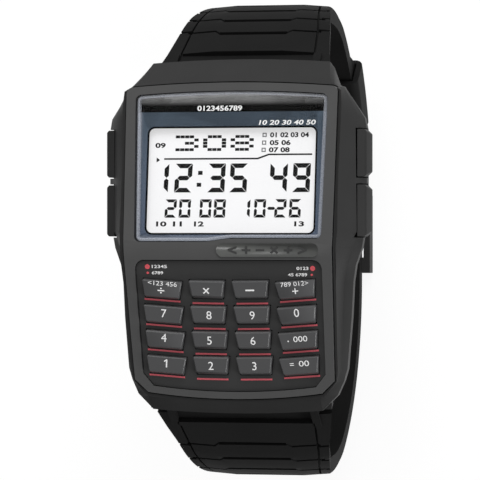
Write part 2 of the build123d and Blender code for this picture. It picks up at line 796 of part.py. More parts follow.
mat_back_depth = mat_depth + mat_thickness
with BuildPart() as key_mat:
    with BuildSketch(keypad_plane(mat_back_depth)):
        keypad_rectangle(mat_back_depth)
    extrude(amount=mat_thickness)

key_mat.part.label = "key_mat"
export_step(key_mat.part, "parts/key_mat.step")

with BuildPart() as keypad_board:
    with BuildSketch(keypad_plane(board_foot_depth)):
        keypad_rectangle(board_foot_depth)
    extrude(amount=keypad_board_thickness)

keypad_board.part.label = "keypad_board"
export_step(keypad_board.part, "parts/keypad_board.step")


def key_place(row, column):
    """Where a key's middle lies on the keypad plane, and how far it is turned."""
    left, right = key_edges[column]
    middle_y = key_first_row - row * key_pitch - key_face_height / 2
    return Location(((left + right) / 2, middle_y, 0), (0, 0, key_turns[column]))


def key_outline(column, margin, skirt):
    """Draw a key's outline round its own middle: narrower at its foot, which the skirt lowers."""
    left, right = key_edges[column]
    top, foot = key_face_height / 2 + margin, -key_face_height / 2 - skirt - margin
    half_top = (right - left) / 2 + margin
    half_foot = half_top - key_narrowing
    filled([(-half_top, top), (half_top, top), (half_foot, foot), (-half_foot, foot)])


# The plate round the keys
with BuildPart() as keypad_plate:
    with BuildSketch(keypad_plane(bezel_depth)):
        Rectangle(reach, reach)
    extrude(amount=bezel_depth - plate_depth)
    extrude(offset(recess_plan.sketch, amount=-part_gap), amount=watch_height + reach, mode=Mode.INTERSECT)
    for row in range(len(key_names)):
        for column in range(len(key_edges)):
            with BuildSketch(keypad_plane(bezel_depth) * key_place(row, column)):
                key_outline(column, key_gap, key_skirt_height)
            extrude(amount=bezel_depth, mode=Mode.SUBTRACT)

keypad_plate.part.label = "keypad_plate"
export_step(keypad_plate.part, "parts/keypad_plate.step")

# Sixteen keys, each with a flange that the plate holds in
for row, names in enumerate(key_names):
    for column, name in enumerate(names):
        with BuildPart() as key:
            with BuildSketch(keypad_plane(bezel_depth + key_flange_thickness) * key_place(row, column)):
                key_outline(column, key_flange, key_skirt_height)
            extrude(amount=key_flange_thickness)
            with BuildSketch(keypad_plane(bezel_depth) * key_place(row, column)):
                key_outline(column, 0, key_skirt_height)
            extrude(amount=bezel_depth - plate_depth)
            with BuildSketch(keypad_plane(plate_depth) * key_place(row, column)):
                key_outline(column, 0, key_skirt_height)
            with BuildSketch(keypad_plane(plate_depth - key_rise) * key_place(row, column)):
                key_outline(column, 0, 0)
            loft(ruled=True)
        key.part.label = name
        export_step(key.part, f"parts/{name}.step")

# Four pushers with their clips, and the seals that stay in the case
for span_name, (low_y, high_y) in pusher_spans.items():
    middle_y = (low_y + high_y) / 2
    for hand, hand_name in ((1, "right"), (-1, "left")):
        with BuildPart() as pusher:
            with BuildSketch(Plane.XZ.offset(-high_y)):
                filled([(hand * x, height_at(depth)) for x, depth in pusher_profile])
            extrude(amount=high_y - low_y)
            with BuildSketch(Plane.XY):
                inner_x, outer_x = pusher_profile[0][0] - pusher_chamfer, pusher_profile[3][0]
                filled([(hand * x, y) for x, y in [
                    (inner_x, low_y), (outer_x - pusher_chamfer, low_y), (outer_x, low_y + pusher_chamfer),
                    (outer_x, high_y - pusher_chamfer), (outer_x - pusher_chamfer, high_y), (inner_x, high_y)]])
            extrude(amount=watch_height, mode=Mode.INTERSECT)
            stem = [
                (pusher_profile[0][0], pusher_neck_end_x, pusher_stem_radius),
                (pusher_neck_end_x, pusher_neck_start_x, pusher_neck_radius),
                (pusher_neck_start_x, pusher_stem_end_x, pusher_stem_radius),
            ]
            for start_x, end_x, radius in stem:
                with BuildSketch(side_wall(hand, end_x)):
                    with Locations((hand * middle_y, height_at(pusher_stem_depth))):
                        Circle(radius)
                extrude(amount=start_x - end_x)
        pusher_name = f"pusher_{span_name}_{hand_name}"
        pusher.part.label = pusher_name
        export_step(pusher.part, f"parts/{pusher_name}.step")

        with BuildPart() as clip:
            with BuildSketch(side_wall(hand, pusher_neck_start_x)):
                with Locations((hand * middle_y, height_at(pusher_stem_depth))):
                    Circle(pusher_clip_radius)
                    Circle(pusher_neck_radius + tight_gap, mode=Mode.SUBTRACT)
            extrude(amount=pusher_neck_end_x - pusher_neck_start_x)
        clip_name = f"pusher_clip_{span_name}_{hand_name}"
        clip.part.label = clip_name
        export_step(clip.part, f"parts/{clip_name}.step")

with BuildPart() as pusher_seals:
    for low_y, high_y in pusher_spans.values():
        for hand in (1, -1):
            with BuildSketch(side_wall(hand, seal_start_x)):
                with Locations((hand * (low_y + high_y) / 2, height_at(pusher_stem_depth))):
                    Circle(seal_radius)
                    Circle(pusher_stem_radius + tight_gap, mode=Mode.SUBTRACT)
            extrude(amount=seal_thickness)

pusher_seals.part.label = "pusher_seals"
export_step(pusher_seals.part, "parts/pusher_seals.step")

# Case back, its gasket and its four screws
with BuildPart() as case_back_gasket:
    with BuildSketch(Plane.XY.offset(height_at(case_depth))):
        width, length = 2 * (gasket_half_width - tight_gap), 2 * (gasket_half_length - tight_gap)
        RectangleRounded(width, length, gasket_corner_radius)
        inset = gasket_width - tight_gap
        RectangleRounded(2 * (gasket_half_width - inset), 2 * (gasket_half_length - inset),
                         gasket_corner_radius - gasket_width + tight_gap, mode=Mode.SUBTRACT)
    extrude(amount=gasket_depth - tight_gap)

case_back_gasket.part.label = "case_back_gasket"
export_step(case_back_gasket.part, "parts/case_back_gasket.step")

with BuildPart() as case_back:
    with BuildSketch(Plane.XY.offset(height_at(case_depth + back_thickness))):
        RectangleRounded(2 * back_half_width, 2 * back_half_length, back_corner_radius)
    extrude(amount=back_thickness)
    with BuildSketch(Plane.XY.offset(height_at(case_depth + back_thickness))):
        with Locations(*mirrored_spots(post_hole_x, post_hole_y)):
            Circle(screw_radius + tight_gap)
    extrude(amount=back_thickness, mode=Mode.SUBTRACT)
    with BuildSketch(Plane.XY.offset(height_at(case_depth + back_thickness))):
        with Locations(*mirrored_spots(post_hole_x, post_hole_y)):
            Circle(screw_head_radius + running_gap)
    extrude(amount=screw_head_height, mode=Mode.SUBTRACT)

case_back.part.label = "case_back"
export_step(case_back.part, "parts/case_back.step")

with BuildPart() as case_back_screws:
    foot = height_at(case_depth + back_thickness)
    with BuildSketch(Plane.XY.offset(foot)):
        with Locations(*mirrored_spots(post_hole_x, post_hole_y)):
            Circle(screw_head_radius)
    extrude(amount=screw_head_height)
    with BuildSketch(Plane.XY.offset(foot)):
        with Locations(*mirrored_spots(post_hole_x, post_hole_y)):
            Circle(screw_radius)
    extrude(amount=screw_length)
    with BuildSketch(Plane.XY.offset(foot)):
        with Locations(*mirrored_spots(post_hole_x, post_hole_y)):
            Rectangle(2 * screw_head_radius, screw_slot_width)
    extrude(amount=screw_slot_depth, mode=Mode.SUBTRACT)

case_back_screws.part.label = "case_back_screws"
export_step(case_back_screws.part, "parts/case_back_screws.step")

# Spring bars
for end, bar_name in (("hood", "spring_bar_top"), ("nose", "spring_bar_bottom")):
    with BuildPart() as spring_bar:
        with BuildSketch(side_plane(end)):
            with Locations(pivot_at(end)):
                Circle(bar_radius)
        extrude(amount=bar_half_length, both=True)
        with BuildSketch(side_plane(end)):
            with Locations(pivot_at(end)):
                Circle(bar_tip_radius)
        extrude(amount=bar_tip_half_length, both=True)
    spring_bar.part.label = bar_name
    export_step(spring_bar.part, f"parts/{bar_name}.step")

# The loop's outer line in the side view
back_centre_height = flat_height + back_radius
side_centre_height = back_centre_height - (back_radius - side_radius) * sin(radians(knee_angle))
pivot_y, pivot_height = pivot_at("hood")
slope_reach = pivot_y * outward[0] + pivot_height * outward[1] + pivot_offset
side_centre = ((slope_reach - side_radius - side_centre_height * outward[1]) / outward[0], side_centre_height)
slope_end = (side_centre[0] + side_radius * outward[0], side_centre[1] + side_radius * outward[1])
back_centre = (side_centre[0] - (back_radius - side_radius) * cos(radians(knee_angle)), back_centre_height)
knee_height = side_centre[1] - side_radius * sin(radians(knee_angle))


def slope_foot(end):
    """The point on the loop's outer line that is nearest to the strap pivot."""
    y, z = pivot_at(end)
    run = (y - slope_end[0]) * downhill[0] + (z - slope_end[1]) * downhill[1]
    return slope_end[0] + run * downhill[0], slope_end[1] + run * downhill[1]


def slope_point(end, distance):
    """A point on the straight slope, measured along it from the foot."""
    y, z = slope_foot(end)
    return y + distance * downhill[0], z + distance * downhill[1]


def strap_end(end):
    """Draw the knuckle round the spring bar and the neck that joins it to the strap."""
    with Locations(pivot_at(end)):
        Circle(knuckle_radius)
    near, far = slope_foot(end), slope_point(end, shoulder_starts[end] + strap_front_thickness)
    inward = (-outward[0] * strap_front_thickness, -outward[1] * strap_front_thickness)
    filled([near, far, (far[0] + inward[0], far[1] + inward[1]), (near[0] + inward[0], near[1] + inward[1])])


def skin_plane(end, spot, normal):
    """A plane lying on the strap at a spot of the side view: across the strap, then along it."""
    plane = side_plane(end)
    middle = plane.from_local_coords((0, 0, 0))
    up = plane.from_local_coords((*normal, 0)) - middle
    along = plane.from_local_coords((normal[1], -normal[0], 0)) - middle
    return Plane(origin=plane.from_local_coords((*spot, 0)), x_dir=along.cross(up), z_dir=up)


def arc_spot(centre, radius, angle):
    """A point of an arc in the side view, and the direction out of the arc there."""
    normal = (cos(radians(angle)), sin(radians(angle)))
    return (centre[0] + radius * normal[0], centre[1] + radius * normal[1]), normal


def plane_along(end, distance):
    """The plane on the strap's outer line at this distance from its foot."""
    foot = slope_foot(end)
    slope_length = (foot[1] - slope_end[1]) / outward[0]
    if distance < slope_length:
        return skin_plane(end, slope_point(end, distance), outward)
    turn = degrees((distance - slope_length) / side_radius)
    return skin_plane(end, *arc_spot(side_centre, side_radius, 90 - slope_angle - turn))


def fallen(end, share):
    """Height at a share of the way down from the strap pivot to the knee."""
    top = pivot_at(end)[1]
    return top - share * (top - knee_height)


def taper(end):
    """Cutter that leaves the strap as wide as its widths, further down as wide as its back."""
    shares = taper_shares[end]
    widths = taper_widths[end] + [strap_back_half_width] * 2
    right = [(width, fallen(end, share)) for share, width in zip(shares, widths)]
    with BuildPart() as cutter:
        with BuildSketch(Plane.XZ):
            filled(right + mirrored(right)[::-1])
        extrude(amount=reach, both=True)
    return cutter.part


def blend_line(first_drop, last_drop):
    """Three points from the start of the blend to the knee, dropping this much below the side arc."""
    return [
        arc_spot(side_centre, side_radius - first_drop, blend_angle)[0],
        arc_spot(side_centre, side_radius - (first_drop + last_drop) / 2, (blend_angle - knee_angle) / 2)[0],
        arc_spot(side_centre, side_radius - last_drop, -knee_angle)[0],
    ]


def strap_blend(outer_first, outer_last, inner_first, inner_last):
    """Draw what lies between an outer and an inner blend line."""
    outer = blend_line(outer_first, outer_last)
    inner = blend_line(inner_first, inner_last)
    with BuildLine() as outline:
        ThreePointArc(*outer)
        Line(outer[2], inner[2])
        ThreePointArc(*inner)
        Line(inner[0], outer[0])
    make_face(outline.edges())


def strap_back():
    """Draw the stretch where the front's dropped sides rise to the back, and the back's arc."""
    strap_blend(shoulder_drop, 0, strap_front_thickness, strap_back_thickness)
    ring_sector(back_centre, back_radius - strap_back_thickness, back_radius, -knee_angle, knee_angle - 90)


def crowned_front(end):
    """The full-width front of a strap: thick in the middle, thinner towards its sides."""
    start = slope_point(end, shoulder_starts[end])
    across = plane_along(end, shoulder_starts[end])
    with BuildPart() as front:
        with BuildLine(side_plane(end)) as path:
            Line(start, slope_end)
            CenterArc(side_centre, side_radius, 90 - slope_angle, slope_angle - 90 - knee_angle)
        with BuildSketch(Plane(origin=across.origin, x_dir=across.x_dir, z_dir=-across.y_dir)):
            half = [
                (crown_half_width, 0),
                (border_x, -border_drop),
                (strap_blank_half_width, -shoulder_drop),
                (strap_blank_half_width, -strap_front_thickness),
            ]
            filled(half + mirrored(half)[::-1])
        sweep(path=path.wires()[0])
        # Its inside thins down to the back's thickness
        with BuildSketch(side_plane(end)):
            deeper = strap_front_thickness + part_gap
            strap_blend(strap_front_thickness, strap_back_thickness, deeper, deeper)
        extrude(amount=strap_blank_half_width, both=True, mode=Mode.SUBTRACT)
    return front.part & taper(end)


def groove_band(half_line, width):
    """Draw a band of this width along a bent line, given for the right half."""
    line = mirrored(half_line)[::-1] + half_line
    lower = [(x, y - width / 2) for x, y in line]
    filled(lower + [(x, y + width / 2) for x, y in line][::-1])


def plate_cutter(end):
    """What is cut from the front of a strap: the recess by the case, the cross grooves and the seams."""
    middle = (plate_starts[end] + recess_start) / 2
    with BuildPart() as cutter:
        with BuildSketch(plane_along(end, middle)):
            Rectangle(2 * recess_half_width, plate_starts[end] - recess_start)
        extrude(amount=recess_drop, both=True)
        for place in groove_places[end]:
            with BuildSketch(plane_along(end, place)):
                groove_band(
                    [(crown_half_width, 0), (crown_half_width + groove_step_length, groove_border_shift),
                     (recess_half_width, groove_border_shift)],
                    groove_side_width,
                )
                Rectangle(2 * crown_half_width, groove_middle_width)
            extrude(amount=groove_depth, both=True)
            for hand in (1, -1):
                with BuildSketch(plane_along(end, place)):
                    with Locations((hand * (border_x + strap_blank_half_width) / 2, groove_edge_shift)):
                        Rectangle(strap_blank_half_width - border_x, groove_side_width)
                extrude(amount=groove_edge_depth, both=True)
    right = [(x, fallen(end, share)) for share, x in zip(seam_shares, seam_places)]
    with BuildPart() as seams:
        for hand in (1, -1):
            with BuildSketch(Plane.XZ):
                inner = [(hand * x, z) for x, z in right]
                filled(inner + [(x + hand * seam_width, z) for x, z in inner][::-1])
            extrude(amount=reach, both=True)
        with BuildSketch(side_plane(end)):
            start, far = slope_point(end, plate_starts[end]), slope_end
            out = (reach * outward[0], reach * outward[1])
            inward = (-seam_depth * outward[0], -seam_depth * outward[1])
            filled([(start[0] + inward[0], start[1] + inward[1]), (far[0] + inward[0], far[1] + inward[1]),
                    (far[0] + out[0], far[1] + out[1]), (start[0] + out[0], start[1] + out[1])])
            ring_sector(side_centre, side_radius - seam_depth, side_radius + seam_depth,
                        90 - slope_angle, slope_angle - 90 + blend_angle)
        extrude(amount=strap_blank_half_width, both=True, mode=Mode.INTERSECT)
    return cutter.part + seams.part


pin_spot = (buckle_pin_y, flat_height + buckle_pin_lift)

# The short strap, from the hood round to the buckle pin
with BuildPart() as strap_upper:
    with BuildSketch(side_plane("hood")):
        strap_end("hood")
    extrude(amount=knuckle_half_width, both=True)
    add(crowned_front("hood"))
    add(plate_cutter("hood"), mode=Mode.SUBTRACT)
    with BuildSketch(Plane.YZ):
        with Locations(pivot_at("hood")):
            Circle(bar_radius + running_gap)
    extrude(amount=reach, both=True, mode=Mode.SUBTRACT)
    with BuildSketch(Plane.YZ):
        strap_back()
        filled([(back_centre[0], flat_height), (back_centre[0], flat_height + strap_back_thickness),
                (pin_spot[0], flat_height + strap_back_thickness), (pin_spot[0], flat_height)])
        with Locations(pin_spot):
            Circle(buckle_knuckle_radius)
    extrude(amount=strap_back_half_width, both=True)
    with BuildSketch(Plane.YZ):
        with Locations(pin_spot):
            Circle(buckle_pin_radius + running_gap)
    extrude(amount=reach, both=True, mode=Mode.SUBTRACT)
    with BuildSketch(Plane.XY):
        with Locations((0, pin_spot[0])):
            Rectangle(2 * tongue_slot_half_width, 2 * ear_radius)
    extrude(amount=pin_spot[1] + ear_radius, mode=Mode.SUBTRACT)

strap_upper.part.label = "strap_upper"
export_step(strap_upper.part, "parts/strap_upper.step")

# The long strap, from the nose under the crossbar and out over the short strap
bend_angle = degrees(acos(1 - (flat_height - table_gap) / (2 * bend_radius)))
bend_top_centre = (bend_start_y, flat_height + strap_back_thickness / 2 - bend_radius)
bend_low_centre = (
    bend_start_y - 2 * bend_radius * sin(radians(bend_angle)),
    bend_top_centre[1] + 2 * bend_radius * cos(radians(bend_angle)),
)
half_back = strap_back_thickness / 2
tail_height = bend_low_centre[1] - bend_radius - half_back
tail_centre = (-back_centre[0], back_centre[1])
tail_radius = back_centre[1] - tail_height - strap_back_thickness
with BuildPart() as strap_lower:
    with BuildSketch(side_plane("nose")):
        strap_end("nose")
    extrude(amount=knuckle_half_width, both=True)
    add(crowned_front("nose"))
    add(plate_cutter("nose"), mode=Mode.SUBTRACT)
    with BuildSketch(side_plane("nose")):
        with Locations(pivot_at("nose")):
            Circle(bar_radius + running_gap)
    extrude(amount=reach, both=True, mode=Mode.SUBTRACT)
    with BuildSketch(side_plane("nose")):
        strap_back()
        filled([(back_centre[0], flat_height), (back_centre[0], flat_height + strap_back_thickness),
                (bend_start_y, flat_height + strap_back_thickness), (bend_start_y, flat_height)])
        ring_sector(bend_top_centre, bend_radius - half_back, bend_radius + half_back, 90, bend_angle)
        ring_sector(bend_low_centre, bend_radius - half_back, bend_radius + half_back, -90, 90 - bend_angle)
        filled([(bend_low_centre[0], tail_height), (bend_low_centre[0], tail_height + strap_back_thickness),
                (tail_centre[0], tail_height + strap_back_thickness), (tail_centre[0], tail_height)])
        ring_sector(tail_centre, tail_radius, tail_radius + tail_thickness, -90, -tail_angle)
    extrude(amount=strap_back_half_width, both=True)
    # Holes for the tongue: the one in use and those beside it, then the others on the two arcs
    tongue_hole_y = strap_hole_shift - (bend_start_y - bend_radius * sin(radians(bend_angle)))
    with BuildSketch(Plane.XY):
        for step in flat_hole_steps:
            with Locations((0, tongue_hole_y + step * strap_hole_pitch)):
                Rectangle(2 * strap_hole_half_width, strap_hole_length)
    extrude(amount=flat_height + 2 * strap_back_thickness, mode=Mode.SUBTRACT)
    tail_run = tongue_hole_y - back_centre[0]
    back_run = -tongue_hole_y - back_centre[0]
    hole_arcs = [(tail_centre, tail_radius, -1, tail_run, step) for step in tail_hole_steps]
    hole_arcs += [(back_centre, back_radius, 1, back_run, step) for step in back_hole_steps]
    for centre, radius, hand, first_run, step in hole_arcs:
        turn = hand * degrees((first_run + step * strap_hole_pitch) / radius)
        with BuildSketch(skin_plane("nose", *arc_spot(centre, radius, turn - 90))):
            Rectangle(2 * strap_hole_half_width, strap_hole_length)
        extrude(amount=strap_back_thickness + part_gap, both=True, mode=Mode.SUBTRACT)
    # The tail's two rounded corners
    tail_end, tail_normal = arc_spot(tail_centre, tail_radius, -90 - tail_angle)
    with BuildSketch(skin_plane("nose", tail_end, tail_normal)):
        Rectangle(2 * strap_back_half_width, 2 * tail_corner_radius)
        with Locations((0, -tail_corner_radius)):
            length, radius = 2 * tail_corner_radius, tail_corner_radius - part_gap
            RectangleRounded(2 * strap_back_half_width, length, radius, mode=Mode.SUBTRACT)
    extrude(amount=2 * tail_thickness, both=True, mode=Mode.SUBTRACT)

strap_lower.part.label = "strap_lower"
export_step(strap_lower.part, "parts/strap_lower.step")

# Buckle
with BuildPart() as buckle_frame:
    for hand in (1, -1):
        with BuildSketch(Plane.YZ.offset(hand * (rail_inner_x + rail_outer_x) / 2)):
            with Locations(pin_spot):
                Circle(ear_radius)
            filled([
                (crossbar_low_y, 0), (pin_spot[0] + ear_radius / 2, 0), (pin_spot[0] + ear_radius, pin_spot[1]),
                pin_spot, (pin_spot[0] - 2 * ear_radius, crossbar_height),
                (crossbar_low_y, crossbar_height),
            ])
        extrude(amount=(rail_outer_x - rail_inner_x) / 2, both=True)
    with BuildSketch(Plane.YZ):
        filled([(crossbar_low_y, 0), (crossbar_high_y, 0),
                (crossbar_high_y, crossbar_height), (crossbar_low_y, crossbar_height)])
    extrude(amount=rail_outer_x, both=True)
    with BuildSketch(Plane.YZ):
        with Locations(pin_spot):
            Circle(buckle_pin_radius + tight_gap)
    extrude(amount=reach, both=True, mode=Mode.SUBTRACT)
    with BuildSketch(Plane.YZ):
        Rectangle(reach, 2 * notch_depth)
    extrude(amount=tongue_slot_half_width, both=True, mode=Mode.SUBTRACT)

buckle_frame.part.label = "buckle_frame"
export_step(buckle_frame.part, "parts/buckle_frame.step")

with BuildPart() as buckle_tongue:
    with BuildSketch(Plane.YZ):
        with Locations(pin_spot):
            Circle(tongue_ring_radius)
        half = tongue_thickness / 2
        filled([
            (pin_spot[0], pin_spot[1] + half), (pin_spot[0], pin_spot[1] - half),
            (tongue_bend_y, tongue_rest_height), (tongue_tip_y, tongue_rest_height),
            (tongue_tip_y, tongue_rest_height + half), (tongue_bend_y, tongue_rest_height + tongue_thickness),
        ])
        with Locations(pin_spot):
            Circle(buckle_pin_radius + running_gap, mode=Mode.SUBTRACT)
    extrude(amount=tongue_half_width, both=True)

buckle_tongue.part.label = "buckle_tongue"
export_step(buckle_tongue.part, "parts/buckle_tongue.step")

with BuildPart() as buckle_pin:
    with BuildSketch(Plane.YZ):
        with Locations(pin_spot):
            Circle(buckle_pin_radius)
    extrude(amount=rail_outer_x, both=True)

buckle_pin.part.label = "buckle_pin"
export_step(buckle_pin.part, "parts/buckle_pin.step")

# The loose keeper round both straps
with BuildPart() as keeper:
    room_inner = back_radius - strap_back_thickness - keeper_gap
    room_outer = tail_radius + tail_thickness + keeper_gap
    turn = keeper_end_angle - keeper_start_angle
    with BuildSketch(Plane.YZ):
        inner, outer = room_inner - keeper_wall, room_outer + keeper_wall
        ring_sector(back_centre, inner, outer, keeper_start_angle - 90, turn)
    extrude(amount=strap_back_half_width + keeper_side_gap + keeper_side_wall, both=True)
    fillet(edges().filter_by(GeomType.CIRCLE), radius=keeper_corner_radius)
    with BuildSketch(Plane.YZ):
        room_start, room_turn = keeper_start_angle - keeper_overcut_angle, turn + 2 * keeper_overcut_angle
        ring_sector(back_centre, room_inner, room_outer, room_start - 90, room_turn)
    extrude(amount=strap_back_half_width + keeper_side_gap, both=True, mode=Mode.SUBTRACT)

keeper.part.label = "keeper"
export_step(keeper.part, "parts/keeper.step")
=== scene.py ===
import bmesh
import bpy
import json
from math import cos, pi, radians, sin
from mathutils import Matrix, Vector


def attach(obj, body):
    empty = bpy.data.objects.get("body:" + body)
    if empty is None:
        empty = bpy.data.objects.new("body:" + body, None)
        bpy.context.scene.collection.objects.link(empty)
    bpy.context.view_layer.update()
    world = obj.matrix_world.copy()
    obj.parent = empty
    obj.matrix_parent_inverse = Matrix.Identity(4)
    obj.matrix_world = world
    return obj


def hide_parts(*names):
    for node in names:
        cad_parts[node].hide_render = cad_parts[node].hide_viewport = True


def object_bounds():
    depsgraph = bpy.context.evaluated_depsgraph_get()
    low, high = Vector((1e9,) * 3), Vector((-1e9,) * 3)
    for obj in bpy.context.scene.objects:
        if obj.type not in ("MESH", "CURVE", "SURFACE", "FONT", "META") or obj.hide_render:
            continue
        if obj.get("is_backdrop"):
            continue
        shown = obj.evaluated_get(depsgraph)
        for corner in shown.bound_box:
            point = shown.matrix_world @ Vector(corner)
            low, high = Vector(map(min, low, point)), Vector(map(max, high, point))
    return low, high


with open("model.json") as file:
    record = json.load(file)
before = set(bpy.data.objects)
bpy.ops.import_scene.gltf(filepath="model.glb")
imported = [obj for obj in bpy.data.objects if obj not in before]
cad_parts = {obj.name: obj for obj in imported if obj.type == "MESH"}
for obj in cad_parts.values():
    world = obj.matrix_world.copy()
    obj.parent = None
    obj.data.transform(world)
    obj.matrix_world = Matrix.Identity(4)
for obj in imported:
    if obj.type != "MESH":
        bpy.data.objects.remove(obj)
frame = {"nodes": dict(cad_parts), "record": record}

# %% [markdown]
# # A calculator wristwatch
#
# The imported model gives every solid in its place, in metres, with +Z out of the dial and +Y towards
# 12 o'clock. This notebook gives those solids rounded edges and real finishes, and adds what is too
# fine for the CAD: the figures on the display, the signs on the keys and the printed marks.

cad_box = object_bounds()
MM = 0.001
LOW, HIGH = (Vector(corner) for corner in cad_box)
print("CAD box in mm:", [round(side / MM, 2) for side in HIGH - LOW])

# %% [markdown]
# ## Three small helpers
#
# Colours are read off as sRGB hex values, and the shaders want linear light, so one function turns
# the one into the other. A second one adds a shader node with its settings and its links, which keeps
# each material down to a few readable lines. A third starts an empty material.

# %% Helpers for colours and nodes
def linear(hex_colour):
    """The linear RGBA of an sRGB hex colour."""
    shares = [int(hex_colour[i:i + 2], 16) / 255 for i in (1, 3, 5)]
    return [s / 12.92 if s <= 0.04045 else ((s + 0.055) / 1.055) ** 2.4 for s in shares] + [1.0]


def add_node(tree, kind, settings=None, **sockets):
    """Add a node; settings are its own options, sockets are values or outputs to link, by name."""
    new = tree.nodes.new(kind)
    for option, value in (settings or {}).items():
        setattr(new, option, value)
    for name, value in sockets.items():
        numbered = name[1:].isdigit()
        socket = new.inputs[int(name[1:])] if numbered else new.inputs[name.replace("_", " ")]
        if isinstance(value, bpy.types.NodeSocket):
            tree.links.new(value, socket)
        else:
            socket.default_value = value
    return new


def new_material(name):
    """An empty material with its output node."""
    material = bpy.data.materials.new(name)
    material.use_nodes = True
    material.node_tree.nodes.clear()
    output = add_node(material.node_tree, "ShaderNodeOutputMaterial")
    return material, material.node_tree, output


print("middle grey in linear light:", [round(share, 3) for share in linear("#808080")])

# %% [markdown]
# ## Moulded resin
#
# Case, bezel, keys and strap are injection moulded. The mould is spark eroded, which leaves a fine
# random grain, and the pigment isn't spread quite evenly, so the surface has faint cloudy patches and
# its gloss wanders a little. Three noise textures do that: a grain for the bump, a cloud for the colour
# and a broader one for the roughness. The grain is a tenth of a millimetre on the real thing; it is
# drawn a little coarser, or it wouldn't show at all.
#
# The flanks of the case are slightly full from the bezel out to the pushers. A second, broad bump
# across the width gives them that, and with it the light that fades across each flank.

# %% A moulded resin in any colour
RESIN_IOR = 1.5
CLOUD_SIZE = 6 * MM
GLOSS_PATCH = 15 * MM
GLOSS_WANDER = 0.05
GRAIN_STRENGTH = 0.35
FLANK_START_X, FLANK_END_X = 15.3 * MM, 18.6 * MM
FLANK_FULLNESS = 0.35 * MM


def moulded_resin(name, dark, light, roughness, grain=0.22 * MM, depth=0.02 * MM, specular=0.5,
                  fullness=None):
    """A satin moulded plastic or soft resin; dark and light are the ends of its colour."""
    material, tree, output = new_material(name)
    place = add_node(tree, "ShaderNodeTexCoord").outputs["Object"]
    cloud = add_node(tree, "ShaderNodeTexNoise", Vector=place, Scale=1 / CLOUD_SIZE, Detail=3.0)
    colour = add_node(tree, "ShaderNodeMix", {"data_type": "RGBA"}, Factor=cloud.outputs["Fac"],
                      _6=linear(dark), _7=linear(light))
    patch = add_node(tree, "ShaderNodeTexNoise", Vector=place, Scale=1 / GLOSS_PATCH, Detail=2.0)
    gloss = add_node(tree, "ShaderNodeMapRange", Value=patch.outputs["Fac"],
                     To_Min=roughness - GLOSS_WANDER, To_Max=roughness + GLOSS_WANDER)
    speckle = add_node(tree, "ShaderNodeTexNoise", Vector=place, Scale=1 / grain, Detail=2.0)
    bump = add_node(tree, "ShaderNodeBump", Height=speckle.outputs["Fac"],
                    Strength=GRAIN_STRENGTH, Distance=depth)
    if fullness:
        across = add_node(tree, "ShaderNodeSeparateXYZ", Vector=place).outputs["X"]
        side = add_node(tree, "ShaderNodeMath", {"operation": "ABSOLUTE"}, _0=across)
        share = add_node(tree, "ShaderNodeMapRange", Value=side.outputs["Value"],
                         From_Min=FLANK_START_X, From_Max=FLANK_END_X, To_Min=-1.0, To_Max=1.0)
        bow = add_node(tree, "ShaderNodeMath", {"operation": "POWER"}, _0=share.outputs["Result"],
                       _1=2.0)
        bump = add_node(tree, "ShaderNodeBump", {"invert": True}, Height=bow.outputs["Value"],
                        Strength=1.0, Distance=fullness, Normal=bump.outputs["Normal"])
    shader = add_node(tree, "ShaderNodeBsdfPrincipled", Base_Color=colour.outputs[2], IOR=RESIN_IOR,
                      Roughness=gloss.outputs["Result"], Normal=bump.outputs["Normal"],
                      Specular_IOR_Level=specular)
    tree.links.new(shader.outputs["BSDF"], output.inputs["Surface"])
    return material


# %% The resins of the watch
case_finish = moulded_resin("satin_moulded_case_resin", "#2e2e2e", "#343434", 0.45, specular=0.03,
                            fullness=FLANK_FULLNESS)
bezel_finish = moulded_resin("textured_bezel_resin", "#4c4c4c", "#525252", 0.45, grain=0.18 * MM,
                             specular=0.08)
keypad_finish = moulded_resin("textured_keypad_resin", "#393939", "#3e3e3e", 0.6, grain=0.18 * MM,
                              specular=0.08)
key_finish = moulded_resin("satin_key_resin", "#484849", "#4e4e4f", 0.28, grain=0.15 * MM,
                           specular=0.22)
strap_finish = moulded_resin("satin_strap_resin", "#1a1a1a", "#202020", 0.55, grain=0.3 * MM,
                             depth=0.03 * MM, specular=0.02)
badge_finish = moulded_resin("satin_painted_plate", "#464746", "#535452", 0.35, grain=0.3 * MM,
                             specular=0.3)
print("materials so far, with the CAD's own:", len(bpy.data.materials))

# %% [markdown]
# ## Metals, rubbers and boards
#
# The case back is stainless steel brushed one way: the abrasive leaves long scratches, so its noise is
# stretched along X. Small steel pieces are turned and polished. Inside are soft rubbers, a green
# lacquered board and plain mouldings, which show only when the watch is taken apart.

# %% A metal with scratches along one direction
SMOOTHER, ROUGHER = 0.06, 0.08
SCRATCH_STRENGTH = 0.2
SCRATCH_DEPTH = 0.01 * MM


def worked_metal(name, colour, roughness, stretch, scratch=0.08 * MM):
    """A metal whose scratches are this many times longer along X than across."""
    material, tree, output = new_material(name)
    place = add_node(tree, "ShaderNodeTexCoord").outputs["Object"]
    along = add_node(tree, "ShaderNodeMapping", Vector=place, Scale=(1 / stretch, 1, 1))
    scratches = add_node(tree, "ShaderNodeTexNoise", Vector=along.outputs["Vector"],
                         Scale=1 / scratch, Detail=2.0)
    gloss = add_node(tree, "ShaderNodeMapRange", Value=scratches.outputs["Fac"],
                     To_Min=roughness - SMOOTHER, To_Max=roughness + ROUGHER)
    bump = add_node(tree, "ShaderNodeBump", Height=scratches.outputs["Fac"],
                    Strength=SCRATCH_STRENGTH, Distance=SCRATCH_DEPTH)
    shader = add_node(tree, "ShaderNodeBsdfPrincipled", Base_Color=linear(colour), Metallic=1.0,
                      Roughness=gloss.outputs["Result"], Normal=bump.outputs["Normal"])
    tree.links.new(shader.outputs["BSDF"], output.inputs["Surface"])
    return material


